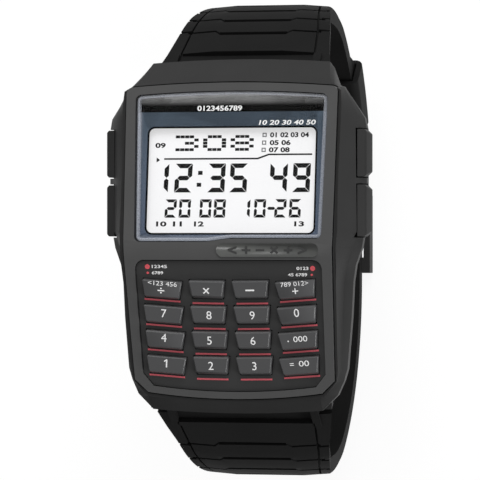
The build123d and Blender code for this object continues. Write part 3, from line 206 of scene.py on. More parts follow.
brushed_finish = worked_metal("brushed_stainless_steel", "#a8a8a6", 0.32, stretch=30)
bright_finish = worked_metal("turned_stainless_steel", "#c4c4c2", 0.2, stretch=3)
copper_finish = worked_metal("enamelled_copper_wire", "#b87333", 0.35, stretch=1, scratch=0.2 * MM)
brass_finish = worked_metal("plated_brass", "#c8a860", 0.28, stretch=2)
print("materials with the metals:", len(bpy.data.materials))

# %% Metals, rubbers and boards, by material slot
inner_finishes = {
    "backlight_white": moulded_resin("milky_diffuser", "#dcdcd6", "#e8e8e2", 0.5),
    "contact_rubber": moulded_resin("layered_contact_rubber", "#2e2e34", "#46464e", 0.7),
    "module_plastic": moulded_resin("natural_moulded_plastic", "#cfcbbf", "#dcd8cc", 0.5),
    "board_green": moulded_resin("lacquered_board", "#184a2e", "#236440", 0.35),
    "chip_black": moulded_resin("moulded_black_epoxy", "#151515", "#1e1e1e", 0.5),
    "seal_rubber": moulded_resin("black_seal_rubber", "#111111", "#191919", 0.6),
    "mat_rubber": moulded_resin("grey_silicone_rubber", "#6e6e6c", "#828280", 0.6),
    "bright_steel": bright_finish,
    "brushed_plate": brushed_finish,
    "coil_copper": copper_finish,
    "contact_brass": brass_finish,
}
print("slots with a metal, rubber or board:", len(inner_finishes))

# %% [markdown]
# ## The glass and its rim
#
# The window is a flat pane of mineral glass with a coating against reflections. It lets nearly
# everything through and mirrors about one percent, more at a glancing angle, so it is a mirror laid
# over clear glass by the Fresnel law; a bending glass would only add noise, because the pane is flat
# on both sides. Only its outside mirrors: from within, the law would turn a pane that doesn't bend
# light into a full mirror, and hide the display from a slant. Its rim is given a pale grey colour, a
# painted highlight, which draws the pale line round the window.

# %% Clear glass with a coating
COATED_IOR = 1.2
MIRROR_ROUGHNESS = 0.08

glass_finish, tree, output = new_material("coated_mineral_glass")
mirror_share = add_node(tree, "ShaderNodeFresnel", IOR=COATED_IOR)
from_inside = add_node(tree, "ShaderNodeNewGeometry").outputs["Backfacing"]
from_outside = add_node(tree, "ShaderNodeMath", {"operation": "SUBTRACT"}, _0=1.0, _1=from_inside)
outer_share = add_node(tree, "ShaderNodeMath", {"operation": "MULTIPLY"},
                       _0=mirror_share.outputs["Fac"], _1=from_outside.outputs["Value"])
clear = add_node(tree, "ShaderNodeBsdfTransparent", Color=linear("#ffffff"))
mirror = add_node(tree, "ShaderNodeBsdfPrincipled", Base_Color=linear("#ffffff"), Metallic=1.0,
                  Roughness=MIRROR_ROUGHNESS)
pane = add_node(tree, "ShaderNodeMixShader", Fac=outer_share.outputs["Value"],
                _1=clear.outputs["BSDF"], _2=mirror.outputs["BSDF"])
tree.links.new(pane.outputs["Shader"], output.inputs["Surface"])
print("glass:", glass_finish.name)

# %% Rim of the glass, pale with a painted highlight
RIM_MOTTLE_SIZE = 0.2 * MM
RIM_HIGHLIGHT_SHARE = 0.35

rim_highlight_finish, tree, output = new_material("glass_rim_painted_highlight")
place = add_node(tree, "ShaderNodeTexCoord").outputs["Object"]
rim_mottle = add_node(tree, "ShaderNodeTexNoise", Vector=place, Scale=1 / RIM_MOTTLE_SIZE, Detail=2.0)
# The pale tint on the rim is a painted highlight along the edge of the glass.
tint = add_node(tree, "ShaderNodeMix", {"data_type": "RGBA"}, Factor=rim_mottle.outputs["Fac"],
                _6=linear("#b8bcc6"), _7=linear("#d4d8e2"))
pale_rim = add_node(tree, "ShaderNodeBsdfPrincipled", Base_Color=tint.outputs[2], Roughness=0.5)
clear = add_node(tree, "ShaderNodeBsdfTransparent", Color=linear("#ffffff"))
rim = add_node(tree, "ShaderNodeMixShader", Fac=RIM_HIGHLIGHT_SHARE, _1=clear.outputs["BSDF"],
               _2=pale_rim.outputs["BSDF"])
tree.links.new(rim.outputs["Shader"], output.inputs["Surface"])
print("rim:", rim_highlight_finish.name)

# %% [markdown]
# ## The printed mask
#
# Behind the glass, a mask is printed on the pane: a slate colour round the display, which darkens to
# black in a band along the top. Above the band it fades to a pale grey, a painted reflection of the
# light along the top of the glass. Towards the sides and the foot of the pane the slate gets paler, a
# painted highlight along the bevelled edge of the glass. A black line runs round the window of the
# display, which makes its edge crisp. One material does all of that, because the place of each spot
# on the pane decides its colour.

# %% Slate ink, with a painted highlight that makes it paler at the sides and the foot
BLACK_BAND_Y = 18.1 * MM
SLATE_FOOT_Y = 0.0
HIGHLIGHT_START_X, HIGHLIGHT_END_X = 12.9 * MM, 13.7 * MM
HIGHLIGHT_START_Y, HIGHLIGHT_END_Y = 0.8 * MM, 0.1 * MM
INK_SPECK = 0.3 * MM
SPECK_CONTRAST = 0.06

mask_finish, tree, output = new_material("slate_printed_mask")
place = add_node(tree, "ShaderNodeTexCoord").outputs["Object"]
spot = add_node(tree, "ShaderNodeSeparateXYZ", Vector=place).outputs
height = spot["Y"]
fade = add_node(tree, "ShaderNodeMapRange", Value=height, From_Min=SLATE_FOOT_Y,
                From_Max=BLACK_BAND_Y)
full_slate = add_node(tree, "ShaderNodeMix", {"data_type": "RGBA"}, Factor=fade.outputs["Result"],
                      _6=linear("#5f6b7f"), _7=linear("#505d6a"))
side = add_node(tree, "ShaderNodeMath", {"operation": "ABSOLUTE"}, _0=spot["X"])
# The shares below are a painted highlight along the bevelled edge of the glass, which makes the slate pale
# at the sides and the foot.
side_highlight = add_node(tree, "ShaderNodeMapRange", Value=side.outputs["Value"],
                     From_Min=HIGHLIGHT_START_X, From_Max=HIGHLIGHT_END_X)
foot_highlight = add_node(tree, "ShaderNodeMapRange", Value=height, From_Min=HIGHLIGHT_START_Y,
                     From_Max=HIGHLIGHT_END_Y)
thin = add_node(tree, "ShaderNodeMath", {"operation": "MAXIMUM"}, _0=side_highlight.outputs["Result"],
                _1=foot_highlight.outputs["Result"])
# The pale #9299a6 is the colour of that painted highlight.
slate = add_node(tree, "ShaderNodeMix", {"data_type": "RGBA"}, Factor=thin.outputs["Value"],
                 _6=full_slate.outputs[2], _7=linear("#9299a6"))
speck = add_node(tree, "ShaderNodeTexNoise", Vector=place, Scale=1 / INK_SPECK, Detail=2.0)
speck_range = add_node(tree, "ShaderNodeMapRange", Value=speck.outputs["Fac"],
                       To_Min=1 - SPECK_CONTRAST, To_Max=1 + SPECK_CONTRAST)
speckled = add_node(tree, "ShaderNodeVectorMath", {"operation": "SCALE"}, _0=slate.outputs[2],
                    Scale=speck_range.outputs["Result"])
print("slate ink from", SLATE_FOOT_Y / MM, "to", round(BLACK_BAND_Y / MM, 1), "mm up the pane")

# %% Black band along the top, which fades to a pale grey, a painted reflection
REFLECTION_START_Y = 18.9 * MM
REFLECTION_END_Y = 20.5 * MM

reflection_share = add_node(tree, "ShaderNodeMapRange", {"interpolation_type": "SMOOTHSTEP"}, Value=height,
                From_Min=REFLECTION_START_Y, From_Max=REFLECTION_END_Y)
# The pale #dcdcdc above the band is a painted reflection of the light along the top of the glass.
black = add_node(tree, "ShaderNodeMix", {"data_type": "RGBA"}, Factor=reflection_share.outputs["Result"],
                 _6=linear("#080808"), _7=linear("#dcdcdc"))
band = add_node(tree, "ShaderNodeMath", {"operation": "GREATER_THAN"}, _0=height, _1=BLACK_BAND_Y)
ink = add_node(tree, "ShaderNodeMix", {"data_type": "RGBA"}, Factor=band.outputs["Value"],
               _6=speckled.outputs["Vector"], _7=black.outputs[2])
print("grey again from", round(REFLECTION_START_Y / MM, 1), "to", round(REFLECTION_END_Y / MM, 1), "mm")

# %% Black line round the window of the display, by the distance from a rounded rectangle
WINDOW_MIDDLE = (0.0, 8.4 * MM, 0.0)
WINDOW_CORNER = (11.25 * MM, 6.6 * MM, 0.0)
WINDOW_RADIUS = 0.8 * MM
WINDOW_LINE = 0.26 * MM

centred = add_node(tree, "ShaderNodeVectorMath", {"operation": "SUBTRACT"}, _0=place,
                   _1=WINDOW_MIDDLE)
sides = add_node(tree, "ShaderNodeVectorMath", {"operation": "ABSOLUTE"},
                 _0=centred.outputs["Vector"])
flat_sides = add_node(tree, "ShaderNodeVectorMath", {"operation": "MULTIPLY"},
                      _0=sides.outputs["Vector"], _1=(1.0, 1.0, 0.0))
past_corner = add_node(tree, "ShaderNodeVectorMath", {"operation": "SUBTRACT"},
                       _0=flat_sides.outputs["Vector"], _1=WINDOW_CORNER)
outside = add_node(tree, "ShaderNodeVectorMath", {"operation": "MAXIMUM"},
                   _0=past_corner.outputs["Vector"], _1=(0.0, 0.0, 0.0))
reach = add_node(tree, "ShaderNodeVectorMath", {"operation": "LENGTH"},
                 _0=outside.outputs["Vector"])
on_line = add_node(tree, "ShaderNodeMath", {"operation": "LESS_THAN"}, _0=reach.outputs["Value"],
                   _1=WINDOW_RADIUS + WINDOW_LINE)
lined = add_node(tree, "ShaderNodeMix", {"data_type": "RGBA"}, Factor=on_line.outputs["Value"],
                 _6=ink.outputs[2], _7=linear("#0c0d10"))
shader = add_node(tree, "ShaderNodeBsdfPrincipled", Base_Color=lined.outputs[2], Roughness=0.6,
                  Specular_IOR_Level=0.0)
tree.links.new(shader.outputs["BSDF"], output.inputs["Surface"])
print("mask:", mask_finish.name)

# %% [markdown]
# ## The display cell and the inks
#
# The display is a pale reflector under a polarising film, which scatters the light evenly and has a
# very fine mottle. An even glow is painted light: it brightens the display and fills in the shade that
# the mask casts on it. The dark figures and the printed signs are thin films, each of a single ink
# that is weaker here and there, as pad printing leaves it.

# %% Display cell
PAINTED_GLOW = 0.56
FILM_GRAIN = 0.15 * MM

display_finish, tree, output = new_material("pale_display_cell")
place = add_node(tree, "ShaderNodeTexCoord").outputs["Object"]
film = add_node(tree, "ShaderNodeTexNoise", Vector=place, Scale=1 / FILM_GRAIN, Detail=1.0)
tone = add_node(tree, "ShaderNodeMix", {"data_type": "RGBA"}, Factor=film.outputs["Fac"],
                _6=linear("#b0b0b2"), _7=linear("#b6b6b8"))
# The emission is painted light, which evens out the shade of the mask on the display.
shader = add_node(tree, "ShaderNodeBsdfPrincipled", Base_Color=tone.outputs[2], Roughness=0.6,
                  Emission_Color=linear("#fafafa"), Emission_Strength=PAINTED_GLOW,
                  Specular_IOR_Level=0.0)
tree.links.new(shader.outputs["BSDF"], output.inputs["Surface"])
print("display:", display_finish.name)

# %% Inks
INK_MOTTLE = 0.1 * MM
WEAKER_INK = 0.88


def printed_ink(name, colour):
    """A thin print or display figure: one colour with a fine mottle."""
    material, tree, output = new_material(name)
    place = add_node(tree, "ShaderNodeTexCoord").outputs["Object"]
    mottle = add_node(tree, "ShaderNodeTexNoise", Vector=place, Scale=1 / INK_MOTTLE, Detail=1.0)
    weaker = [share * WEAKER_INK for share in linear(colour)[:3]] + [1.0]
    tone = add_node(tree, "ShaderNodeMix", {"data_type": "RGBA"}, Factor=mottle.outputs["Fac"],
                    _6=weaker, _7=linear(colour))
    shader = add_node(tree, "ShaderNodeBsdfPrincipled", Base_Color=tone.outputs[2], Roughness=0.5,
                      Specular_IOR_Level=0.1)
    tree.links.new(shader.outputs["BSDF"], output.inputs["Surface"])
    return material


figure_finish = printed_ink("dark_display_figure", "#060607")
outline_finish = printed_ink("grey_display_outline", "#7c7c7e")
white_finish = printed_ink("white_pad_print", "#ffffff")
red_finish = printed_ink("red_pad_print", "#d4656f")
ring_finish = printed_ink("bright_red_pad_print", "#e8626a")
print("materials in the end:", len(bpy.data.materials))

# %% [markdown]
# ## Each CAD solid gets its finish
#
# The record already says which material slot each solid belongs to, so a solid that stays as it is
# only needs that slot's finish.

# %% Finish of each slot
slot_finish = {
    "case_resin": case_finish,
    "bezel_resin": bezel_finish,
    "keypad_resin": keypad_finish,
    "key_resin": key_finish,
    "strap_resin": strap_finish,
    "window_glass": glass_finish,
    "mask_print": mask_finish,
    "display_glass": display_finish,
    **inner_finishes,
}
slot_of = {row["node"]: row["material_slot"] for row in frame["record"]["subparts"]}
body_of = {}
for body, nodes in frame["record"]["behaviour"]["bodies"].items():
    for node in nodes:
        body_of[node] = body
for node, slot in slot_of.items():
    mesh = frame["nodes"][node].data
    mesh.materials.clear()
    mesh.materials.append(slot_finish[slot])
print("CAD solids with a finish:", len(slot_of))

# %% [markdown]
# ## Edges that catch the light
#
# No moulding has knife edges: the tool's own corners leave a small radius, and that radius is what
# draws the bright line along a case edge. The CAD solids arrive as loose triangles, so a copy is
# merged, its flat regions are joined into single faces, and a Bevel modifier rounds the edges that
# turn sharply. Weighted normals keep the big faces looking flat. The keys have plain chamfers instead,
# one flat facet wide, which stay flat in shading too.

# %% A rounded copy of a solid
WELD = 0.001 * MM
FLAT_TURN = radians(0.6)
SHARP_TURN = radians(30)


def settled(piece):
    """Turn a piece's modifiers into its mesh."""
    depsgraph = bpy.context.evaluated_depsgraph_get()
    mesh = bpy.data.meshes.new_from_object(piece.evaluated_get(depsgraph), depsgraph=depsgraph)
    piece.modifiers.clear()
    piece.data = mesh
    return piece


def linked(name, data):
    """A new object in the scene for a mesh, a curve, a lamp or a camera."""
    piece = bpy.data.objects.new(name, data)
    bpy.context.scene.collection.objects.link(piece)
    return piece


def rounded(node, radius, steps, edge_finish=None):
    """Replace a CAD solid by a copy whose sharp edges are rounded, or chamfered in one step."""
    work = bmesh.new()
    work.from_mesh(frame["nodes"][node].data)
    bmesh.ops.remove_doubles(work, verts=work.verts, dist=WELD)
    bmesh.ops.dissolve_limit(work, angle_limit=FLAT_TURN, verts=work.verts, edges=work.edges)
    mesh = bpy.data.meshes.new(f"{node}_moulded")
    work.to_mesh(mesh)
    work.free()
    mesh.materials.append(slot_finish[slot_of[node]])
    if steps > 1:
        mesh.shade_smooth()
    piece = linked(f"{node}_moulded", mesh)
    bevel = piece.modifiers.new("edge", "BEVEL")
    bevel.width = radius
    bevel.segments = steps
    bevel.limit_method = "ANGLE"
    bevel.angle_limit = SHARP_TURN
    if edge_finish:
        mesh.materials.append(edge_finish)
        bevel.material = 1
    if steps > 1:
        weighted = piece.modifiers.new("normals", "WEIGHTED_NORMAL")
        weighted.keep_sharp = True
    settled(piece)
    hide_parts(node)
    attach(piece, body_of[node])
    return piece


# %% Which solids are rounded, and by how much
KEY_CHAMFER = 0.24 * MM
PUSHER_EDGE = 0.2 * MM
ROUND_STEPS, CHAMFER_STEPS = 2, 1

key_rows = [
    ["key_divide", "key_multiply", "key_minus", "key_plus"],
    ["key_7", "key_8", "key_9", "key_0"],
    ["key_4", "key_5", "key_6", "key_point"],
    ["key_1", "key_2", "key_3", "key_equals"],
]
edge_radius = {
    "case_body": 0.3 * MM,
    "front_bezel": 0.24 * MM,
    "keypad_plate": 0.06 * MM,
    "lens": 0.45 * MM,
    "strap_upper": 0.12 * MM,
    "strap_lower": 0.12 * MM,
    "keeper": 0.3 * MM,
    "buckle_frame": 0.3 * MM,
    "buckle_tongue": 0.15 * MM,
}
for row in key_rows:
    for node in row:
        edge_radius[node] = KEY_CHAMFER
for node in slot_of:
    if node.startswith("pusher_") and slot_of[node] == "case_resin":
        edge_radius[node] = PUSHER_EDGE
moulded = {}
for node, radius in edge_radius.items():
    steps = CHAMFER_STEPS if node.startswith("key_") else ROUND_STEPS
    moulded[node] = rounded(node, radius, steps, rim_highlight_finish if node == "lens" else None)
    print(node, "faces after rounding:", len(moulded[node].data.polygons))

# %% The oval plate on the bar is painted, and its face sinks a little for the raised signs
PLATE_SINK = 0.03 * MM
PLATE_TOLERANCE = 0.003 * MM
FACING_UP = 0.999

bezel_mesh = moulded["front_bezel"].data
paint = len(bezel_mesh.materials)
bezel_mesh.materials.append(badge_finish)
plate_top = max(v.co.z for v in bezel_mesh.vertices)
plate_faces = [face for face in bezel_mesh.polygons
               if face.normal.z > FACING_UP and abs(face.center.z - plate_top) < PLATE_TOLERANCE]
for face in plate_faces:
    face.material_index = paint
for vertex in {index for face in plate_faces for index in face.vertices}:
    bezel_mesh.vertices[vertex].co.z -= PLATE_SINK
print("painted faces of the plate:", len(plate_faces), "at", round(plate_top / MM, 3), "mm")

# %% The walls of the window in the bezel are made black, a painted shade, which draws a dark line round the glass
WALL_HALF_WIDTH = 14.3 * MM
WALL_FOOT_Y, WALL_HEAD_Y = -1.0 * MM, 22.0 * MM
STEEP = 0.5

# Black on these steep walls is painted shade, which darkens the gap between the bezel and the glass.
wall_shade_slot = len(bezel_mesh.materials)
bezel_mesh.materials.append(slot_finish["seal_rubber"])
coloured = [face for face in bezel_mesh.polygons
         if abs(face.normal.z) < STEEP and abs(face.center.x) < WALL_HALF_WIDTH
         and WALL_FOOT_Y < face.center.y < WALL_HEAD_Y]
for face in coloured:
    face.material_index = wall_shade_slot
print("inked walls of the window:", len(coloured))

# %% [markdown]
# ## Two sloping faces to print on
#
# The front is bent: the display face and the keypad face meet at a ridge and slope away from it. Every
# mark is laid out flat, in millimetres to the right of the middle and up the face from the ridge, and
# one function then carries it onto its face at a depth. Another turns flat outlines into thin plates.

# %% From a flat layout to a face of the watch
RIDGE_Y = -1.4 * MM
RIDGE_Z = 57.5 * MM
DISPLAY_TILT = radians(7.5)
KEYPAD_TILT = radians(-14.0)


def face_frame(tilt, depth, x=0.0, up=0.0, turn=0.0):
    """The matrix of a spot on a sloping face, depth under it, turned in its plane by degrees."""
    origin = Matrix.Translation((0, RIDGE_Y, RIDGE_Z))
    spot = Matrix.Translation((x * MM, up * MM, -depth * MM))
    return origin @ Matrix.Rotation(-tilt, 4, "X") @ spot @ Matrix.Rotation(radians(turn), 4, "Z")


def plates(name, outlines, thickness, finish, matrix, body="case"):
    """One piece of thin flat plates from closed outlines in millimetres, facing out of the face."""
    work = bmesh.new()
    for outline in outlines:
        work.faces.new([work.verts.new((x * MM, y * MM, 0)) for x, y in outline])
    work.normal_update()
    flat = list(work.faces)
    for face in flat:
        if face.normal.z < 0:
            face.normal_flip()
    raised = bmesh.ops.extrude_face_region(work, geom=flat)
    top = [item for item in raised["geom"] if isinstance(item, bmesh.types.BMVert)]
    bmesh.ops.translate(work, verts=top, vec=(0, 0, thickness * MM))
    bmesh.ops.recalc_face_normals(work, faces=work.faces)
    bmesh.ops.transform(work, matrix=matrix, verts=work.verts)
    mesh = bpy.data.meshes.new(name)
    work.to_mesh(mesh)
    work.free()
    mesh.materials.append(finish)
    piece = linked(name, mesh)
    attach(piece, body)
    return piece


print("the faces meet", round(RIDGE_Z / MM, 1), "mm above the table")

# %% [markdown]
# ## Display figures
#
# A liquid crystal figure is a set of seven bars with mitred ends, leaning a little to the right. Each
# bar is a flat plate a few hundredths of a millimetre thick, which is how the real ones look: dark
# film under the glass. The clock shows plain numbers and nothing else.

# %% Seven bars of one figure
BARS_OF = {
    "0": "abcdef", "1": "bc", "2": "abged", "3": "abgcd", "4": "fgbc",
    "5": "afgcd", "6": "afgedc", "7": "abc", "8": "abcdefg", "9": "abcdfg", "-": "g",
}
LEAN = 0.03
BAR_GAP = 0.05


def figure_bars(figure, left, foot, width, height, stroke):
    """Outlines of the bars of one figure, leaning, in millimetres."""
    middle, gap, half = height / 2, BAR_GAP, stroke / 2
    bars = {
        "a": [(gap, height), (width - gap, height), (width - stroke - gap, height - stroke),
              (stroke + gap, height - stroke)],
        "d": [(stroke + gap, stroke), (width - stroke - gap, stroke), (width - gap, 0), (gap, 0)],
        "g": [(half + gap, middle), (stroke + gap, middle + half),
              (width - stroke - gap, middle + half), (width - half - gap, middle),
              (width - stroke - gap, middle - half), (stroke + gap, middle - half)],
        "f": [(0, height - gap), (stroke, height - stroke - gap), (stroke, middle + half + gap),
              (half, middle + gap), (0, middle + half)],
        "e": [(0, middle - half), (half, middle - gap), (stroke, middle - half - gap),
              (stroke, stroke + gap), (0, gap)],
        "b": [(width, height - gap), (width - stroke, height - stroke - gap),
              (width - stroke, middle + half + gap), (width - half, middle + gap),
              (width, middle + half)],
        "c": [(width, middle - half), (width - half, middle - gap),
              (width - stroke, middle - half - gap), (width - stroke, stroke + gap), (width, gap)],
    }
    return [[(left + x + LEAN * y, foot + y) for x, y in bars[bar]] for bar in BARS_OF[figure]]


def rectangle(left, foot, width, height):
    """A closed outline of a rectangle."""
    corners = [(0, 0), (width, 0), (width, height), (0, height)]
    return [(left + x, foot + y) for x, y in corners]


print("bars of an eight:", len(figure_bars("8", 0, 0, 2, 4, 0.5)))

# %% The clock's figures on the display plane
DISPLAY_DEPTH = 2.29
FILM_THICKNESS = 0.03
RULE_WIDTH = 0.22
COLON_WIDTH, COLON_HEIGHT = 0.64, 0.56

big = {"foot": 8.5, "height": 4.1, "width": 2.5, "stroke": 0.64}
small = {"foot": 4.9, "height": 2.6, "width": 1.67, "stroke": 0.41}
figure_rows = [
    (big, [("1", -11.84), ("2", -8.42), ("3", -3.62), ("5", -0.42), ("4", 5.35), ("9", 8.65)]),
    (small, [("2", -9.7), ("0", -7.64), ("0", -4.64), ("8", -2.58), ("1", 0.97), ("0", 3.23),
             ("-", 4.85), ("2", 6.18), ("6", 8.28)]),
]
outlines = []
for style, figures in figure_rows:
    for figure, left in figures:
        outlines += figure_bars(figure, left, style["foot"], style["width"], style["height"],
                                style["stroke"])
for dot_left, dot_foot in ((-5.14, 9.3), (-4.99, 11.0)):
    outlines.append(rectangle(dot_left, dot_foot, COLON_WIDTH, COLON_HEIGHT))
rule_top = [(-10.0, 13.4), (3.55, 13.4), (5.15, 13.98), (11.4, 13.98)]
rule_foot = [(11.4, 13.98), (5.2, 13.98), (3.6, 13.4), (-10.0, 13.4)]
outlines.append(rule_top + [(x, y - RULE_WIDTH) for x, y in rule_foot])
display = face_frame(DISPLAY_TILT, DISPLAY_DEPTH)
clock_figures = plates("clock_figures", outlines, FILM_THICKNESS, figure_finish, display)
print("bars and marks on the display:", len(outlines))

# %% [markdown]
# ## Printed numbers and small marks
#
# Blender's own text object gives the shapes of printed signs; each is turned into a mesh, brought to
# its height and laid on its face. Small plain numbers stand round the display and on the mask.

# %% A printed sign
PRINT_THICKNESS = 0.015
CURVE_STEPS = 4


def sign(name, text, height, matrix, body, finish, width=None, lean=0.0, bold=0.0):
    """A printed sign of this height on the matrix's place; a width squeezes or stretches it."""
    curve = bpy.data.curves.new(name, "FONT")
    curve.body = text
    curve.size = 1.0
    curve.shear = lean
    curve.resolution_u = CURVE_STEPS
    curve.offset = bold
    curve.extrude = 0.5
    piece = linked(name, curve)
    depsgraph = bpy.context.evaluated_depsgraph_get()
    mesh = bpy.data.meshes.new_from_object(piece.evaluated_get(depsgraph), depsgraph=depsgraph)
    bpy.data.objects.remove(piece)
    low = Vector([min(v.co[i] for v in mesh.vertices) for i in range(3)])
    high = Vector([max(v.co[i] for v in mesh.vertices) for i in range(3)])
    mesh.transform(Matrix.Translation(-(low + high) / 2))
    size = high - low
    tall = height * MM / size.y
    wide = width * MM / size.x if width else tall
    mesh.transform(Matrix.Diagonal((wide, tall, PRINT_THICKNESS * MM / size.z, 1)))
    mesh.transform(matrix)
    mesh.materials.clear()
    mesh.materials.append(finish)
    piece = linked(name, mesh)
    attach(piece, body)
    return piece


# %% Numbers on the display: name, text, place to the right and up, width
SMALL_HEIGHT = 0.72
SMALL_BOLD = 0.035

small_numbers = [
    ("alarm_numbers", "01 02 03 04", 8.07, 16.65, 5.6),
    ("delay_numbers", "05 06", 6.75, 15.55, 3.0),
    ("mute_numbers", "07 08", 6.65, 14.52, 3.0),
    ("zone_number", "09", -10.6, 15.23, 1.5),
    ("first_number", "10", -10.13, 4.0, 1.5),
    ("second_number", "11", -7.78, 4.0, 1.3),
    ("third_number", "12", -4.66, 4.0, 1.4),
    ("fourth_number", "13", 9.8, 4.0, 1.4),
]
for name, text, x, up, width in small_numbers:
    place = face_frame(DISPLAY_TILT, DISPLAY_DEPTH - PRINT_THICKNESS, x, up)
    sign(name, text, SMALL_HEIGHT, place, "case", figure_finish, width,
         bold=SMALL_BOLD)
print("numbers on the display:", len(small_numbers))

# %% Three tick boxes and an arrowhead on the display
BOX_SIZE, BOX_STROKE = 0.6, 0.14

box_middles = ((4.48, 16.65), (4.44, 15.55), (4.4, 14.52))
box_bars = []
for box_x, box_up in box_middles:
    left, foot, inner = box_x - BOX_SIZE / 2, box_up - BOX_SIZE / 2, BOX_SIZE - BOX_STROKE
    box_bars += [
        rectangle(left, foot, BOX_SIZE, BOX_STROKE),
        rectangle(left, foot + inner, BOX_SIZE, BOX_STROKE),
        rectangle(left, foot + BOX_STROKE, BOX_STROKE, inner - BOX_STROKE),
        rectangle(left + inner, foot + BOX_STROKE, BOX_STROKE, inner - BOX_STROKE),
    ]
boxes = plates("tick_boxes", box_bars, FILM_THICKNESS, outline_finish, display)
arrowhead = [(-11.1, 12.8), (-10.6, 13.15), (-11.1, 13.5)]
mark = plates("line_mark", [arrowhead], FILM_THICKNESS, figure_finish, display)
print("tick boxes:", len(box_middles))

# %% White numbers on the printed mask: name, text, height, place to the right and up, width, lean
MASK_PRINT_DEPTH = 1.34
MASK_BOLD = 0.025

white_rows = [
    ("band_numbers", "0123456789", 0.78, -1.92, 20.36, 6.5, 0.0),
    ("slate_numbers", "10 20 30 40 50", 0.7, 7.9, 18.27, 8.2, 0.15),
]
for name, text, height, x, up, width, lean in white_rows:
    place = face_frame(DISPLAY_TILT, MASK_PRINT_DEPTH, x, up)
    sign(name, text, height, place, "case", white_finish, width, lean, MASK_BOLD)
print("white rows on the mask:", len(white_rows))

# %% [markdown]
# ## A dot matrix line
#
# Above the clock, the display has a line of figures made of small oblong dots. The same dot repeats
# dozens of times, so Geometry Nodes place it: the dots' places are the vertices of a mesh, and the
# tree sets one small plate on each. The tree has named inputs for the dot's width, height and
# thickness, realises the copies and gives them their ink.

# %% A Geometry Nodes tree that sets a plate on every point
PLATE_SIZES = ("Width", "Height", "Thickness")


def plate_tree(name, finish):
    """A tree that puts one small plate on each vertex, turned by the vertex's own turn."""
    tree = bpy.data.node_groups.new(name, "GeometryNodeTree")
    tree.interface.new_socket(name="Geometry", in_out="INPUT", socket_type="NodeSocketGeometry")
    for size in PLATE_SIZES:
        tree.interface.new_socket(name=size, in_out="INPUT", socket_type="NodeSocketFloat")
    tree.interface.new_socket(name="Geometry", in_out="OUTPUT", socket_type="NodeSocketGeometry")
    start = add_node(tree, "NodeGroupInput").outputs
    size = add_node(tree, "ShaderNodeCombineXYZ", X=start["Width"], Y=start["Height"],
                    Z=start["Thickness"])
    plate = add_node(tree, "GeometryNodeMeshCube", Size=size.outputs["Vector"])
    turn = add_node(tree, "GeometryNodeInputNamedAttribute", {"data_type": "FLOAT"}, Name="turn")
    spin = add_node(tree, "ShaderNodeCombineXYZ", Z=turn.outputs["Attribute"])
    rotation = add_node(tree, "FunctionNodeEulerToRotation", Euler=spin.outputs["Vector"])
    copies = add_node(tree, "GeometryNodeInstanceOnPoints", Points=start["Geometry"],
                      Instance=plate.outputs["Mesh"], Rotation=rotation.outputs["Rotation"])
    whole = add_node(tree, "GeometryNodeRealizeInstances", Geometry=copies.outputs["Instances"])
    coloured = add_node(tree, "GeometryNodeSetMaterial", Geometry=whole.outputs["Geometry"],
                     Material=finish)
    end = add_node(tree, "NodeGroupOutput")
    tree.links.new(coloured.outputs["Geometry"], end.inputs["Geometry"])
    return tree


def repeated_plates(name, spots, size, finish, matrix, body="case"):
    """A piece of equal plates at (x, y, turn in degrees) spots of a face, sizes in millimetres."""
    mesh = bpy.data.meshes.new(name)
    mesh.from_pydata([(x * MM, y * MM, 0) for x, y, turn in spots], [], [])
    turns = mesh.attributes.new("turn", "FLOAT", "POINT")
    turns.data.foreach_set("value", [radians(turn) for x, y, turn in spots])
    piece = linked(name, mesh)
    modifier = piece.modifiers.new("plates", "NODES")
    modifier.node_group = plate_tree(f"{name}_tree", finish)
    for item in modifier.node_group.interface.items_tree:
        if item.in_out == "INPUT" and item.name in PLATE_SIZES:
            modifier[item.identifier] = size[item.name] * MM
    settled(piece)
    piece.data.transform(matrix)
    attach(piece, body)
    return piece


# %% The dot matrix figures
DOT_ROWS = {
    "3": ["####.", "....#", "..##.", "....#", "####."],
    "0": [".###.", "#...#", "#...#", "#...#", ".###."],
    "8": [".###.", "#...#", ".###.", "#...#", ".###."],
}
DOT_PITCH_X, DOT_PITCH_Y = 0.68, 0.46
DOT_LEFT, DOT_TOP, FIGURE_PITCH = -8.1, 16.45, 4.0

dot_spots = []
for place_in_line, figure in enumerate("308"):
    for row_number, row in enumerate(DOT_ROWS[figure]):
        for column, dot in enumerate(row):
            if dot == "#":
                x = DOT_LEFT + place_in_line * FIGURE_PITCH + column * DOT_PITCH_X
                dot_spots.append((x, DOT_TOP - row_number * DOT_PITCH_Y, 0))
dot_size = {"Width": 0.62, "Height": 0.4, "Thickness": FILM_THICKNESS}
dots = repeated_plates("matrix_dots", dot_spots, dot_size, figure_finish, display)
print("dots:", len(dot_spots))

# %% [markdown]
# ## Signs on the keys
#
# The signs are pad printed in white and lie on the top of their key, where they move with it. The
# first and the last key of the top row also carry an arrowhead and small numbers, and two keys of the
# last column have zeros beside their sign.

# %% Where each key's face is
KEY_EDGES = [(-12.5, -6.76), (-5.76, -0.5), (0.52, 5.8), (6.8, 12.5)]
KEY_TURNS = [-4.5, -0.8, 0.8, 4.5]
KEY_FIRST_ROW = -4.435
KEY_PITCH = 3.7
KEY_FACE_HEIGHT = 2.27
KEY_TOP_DEPTH = -0.4
SIGN_DEPTH = KEY_TOP_DEPTH - PRINT_THICKNESS / 2


def key_middle(row, column):
    """The middle of a key's face, to the right and up."""
    left_edge, right_edge = KEY_EDGES[column]
    return (left_edge + right_edge) / 2, KEY_FIRST_ROW - row * KEY_PITCH - KEY_FACE_HEIGHT / 2


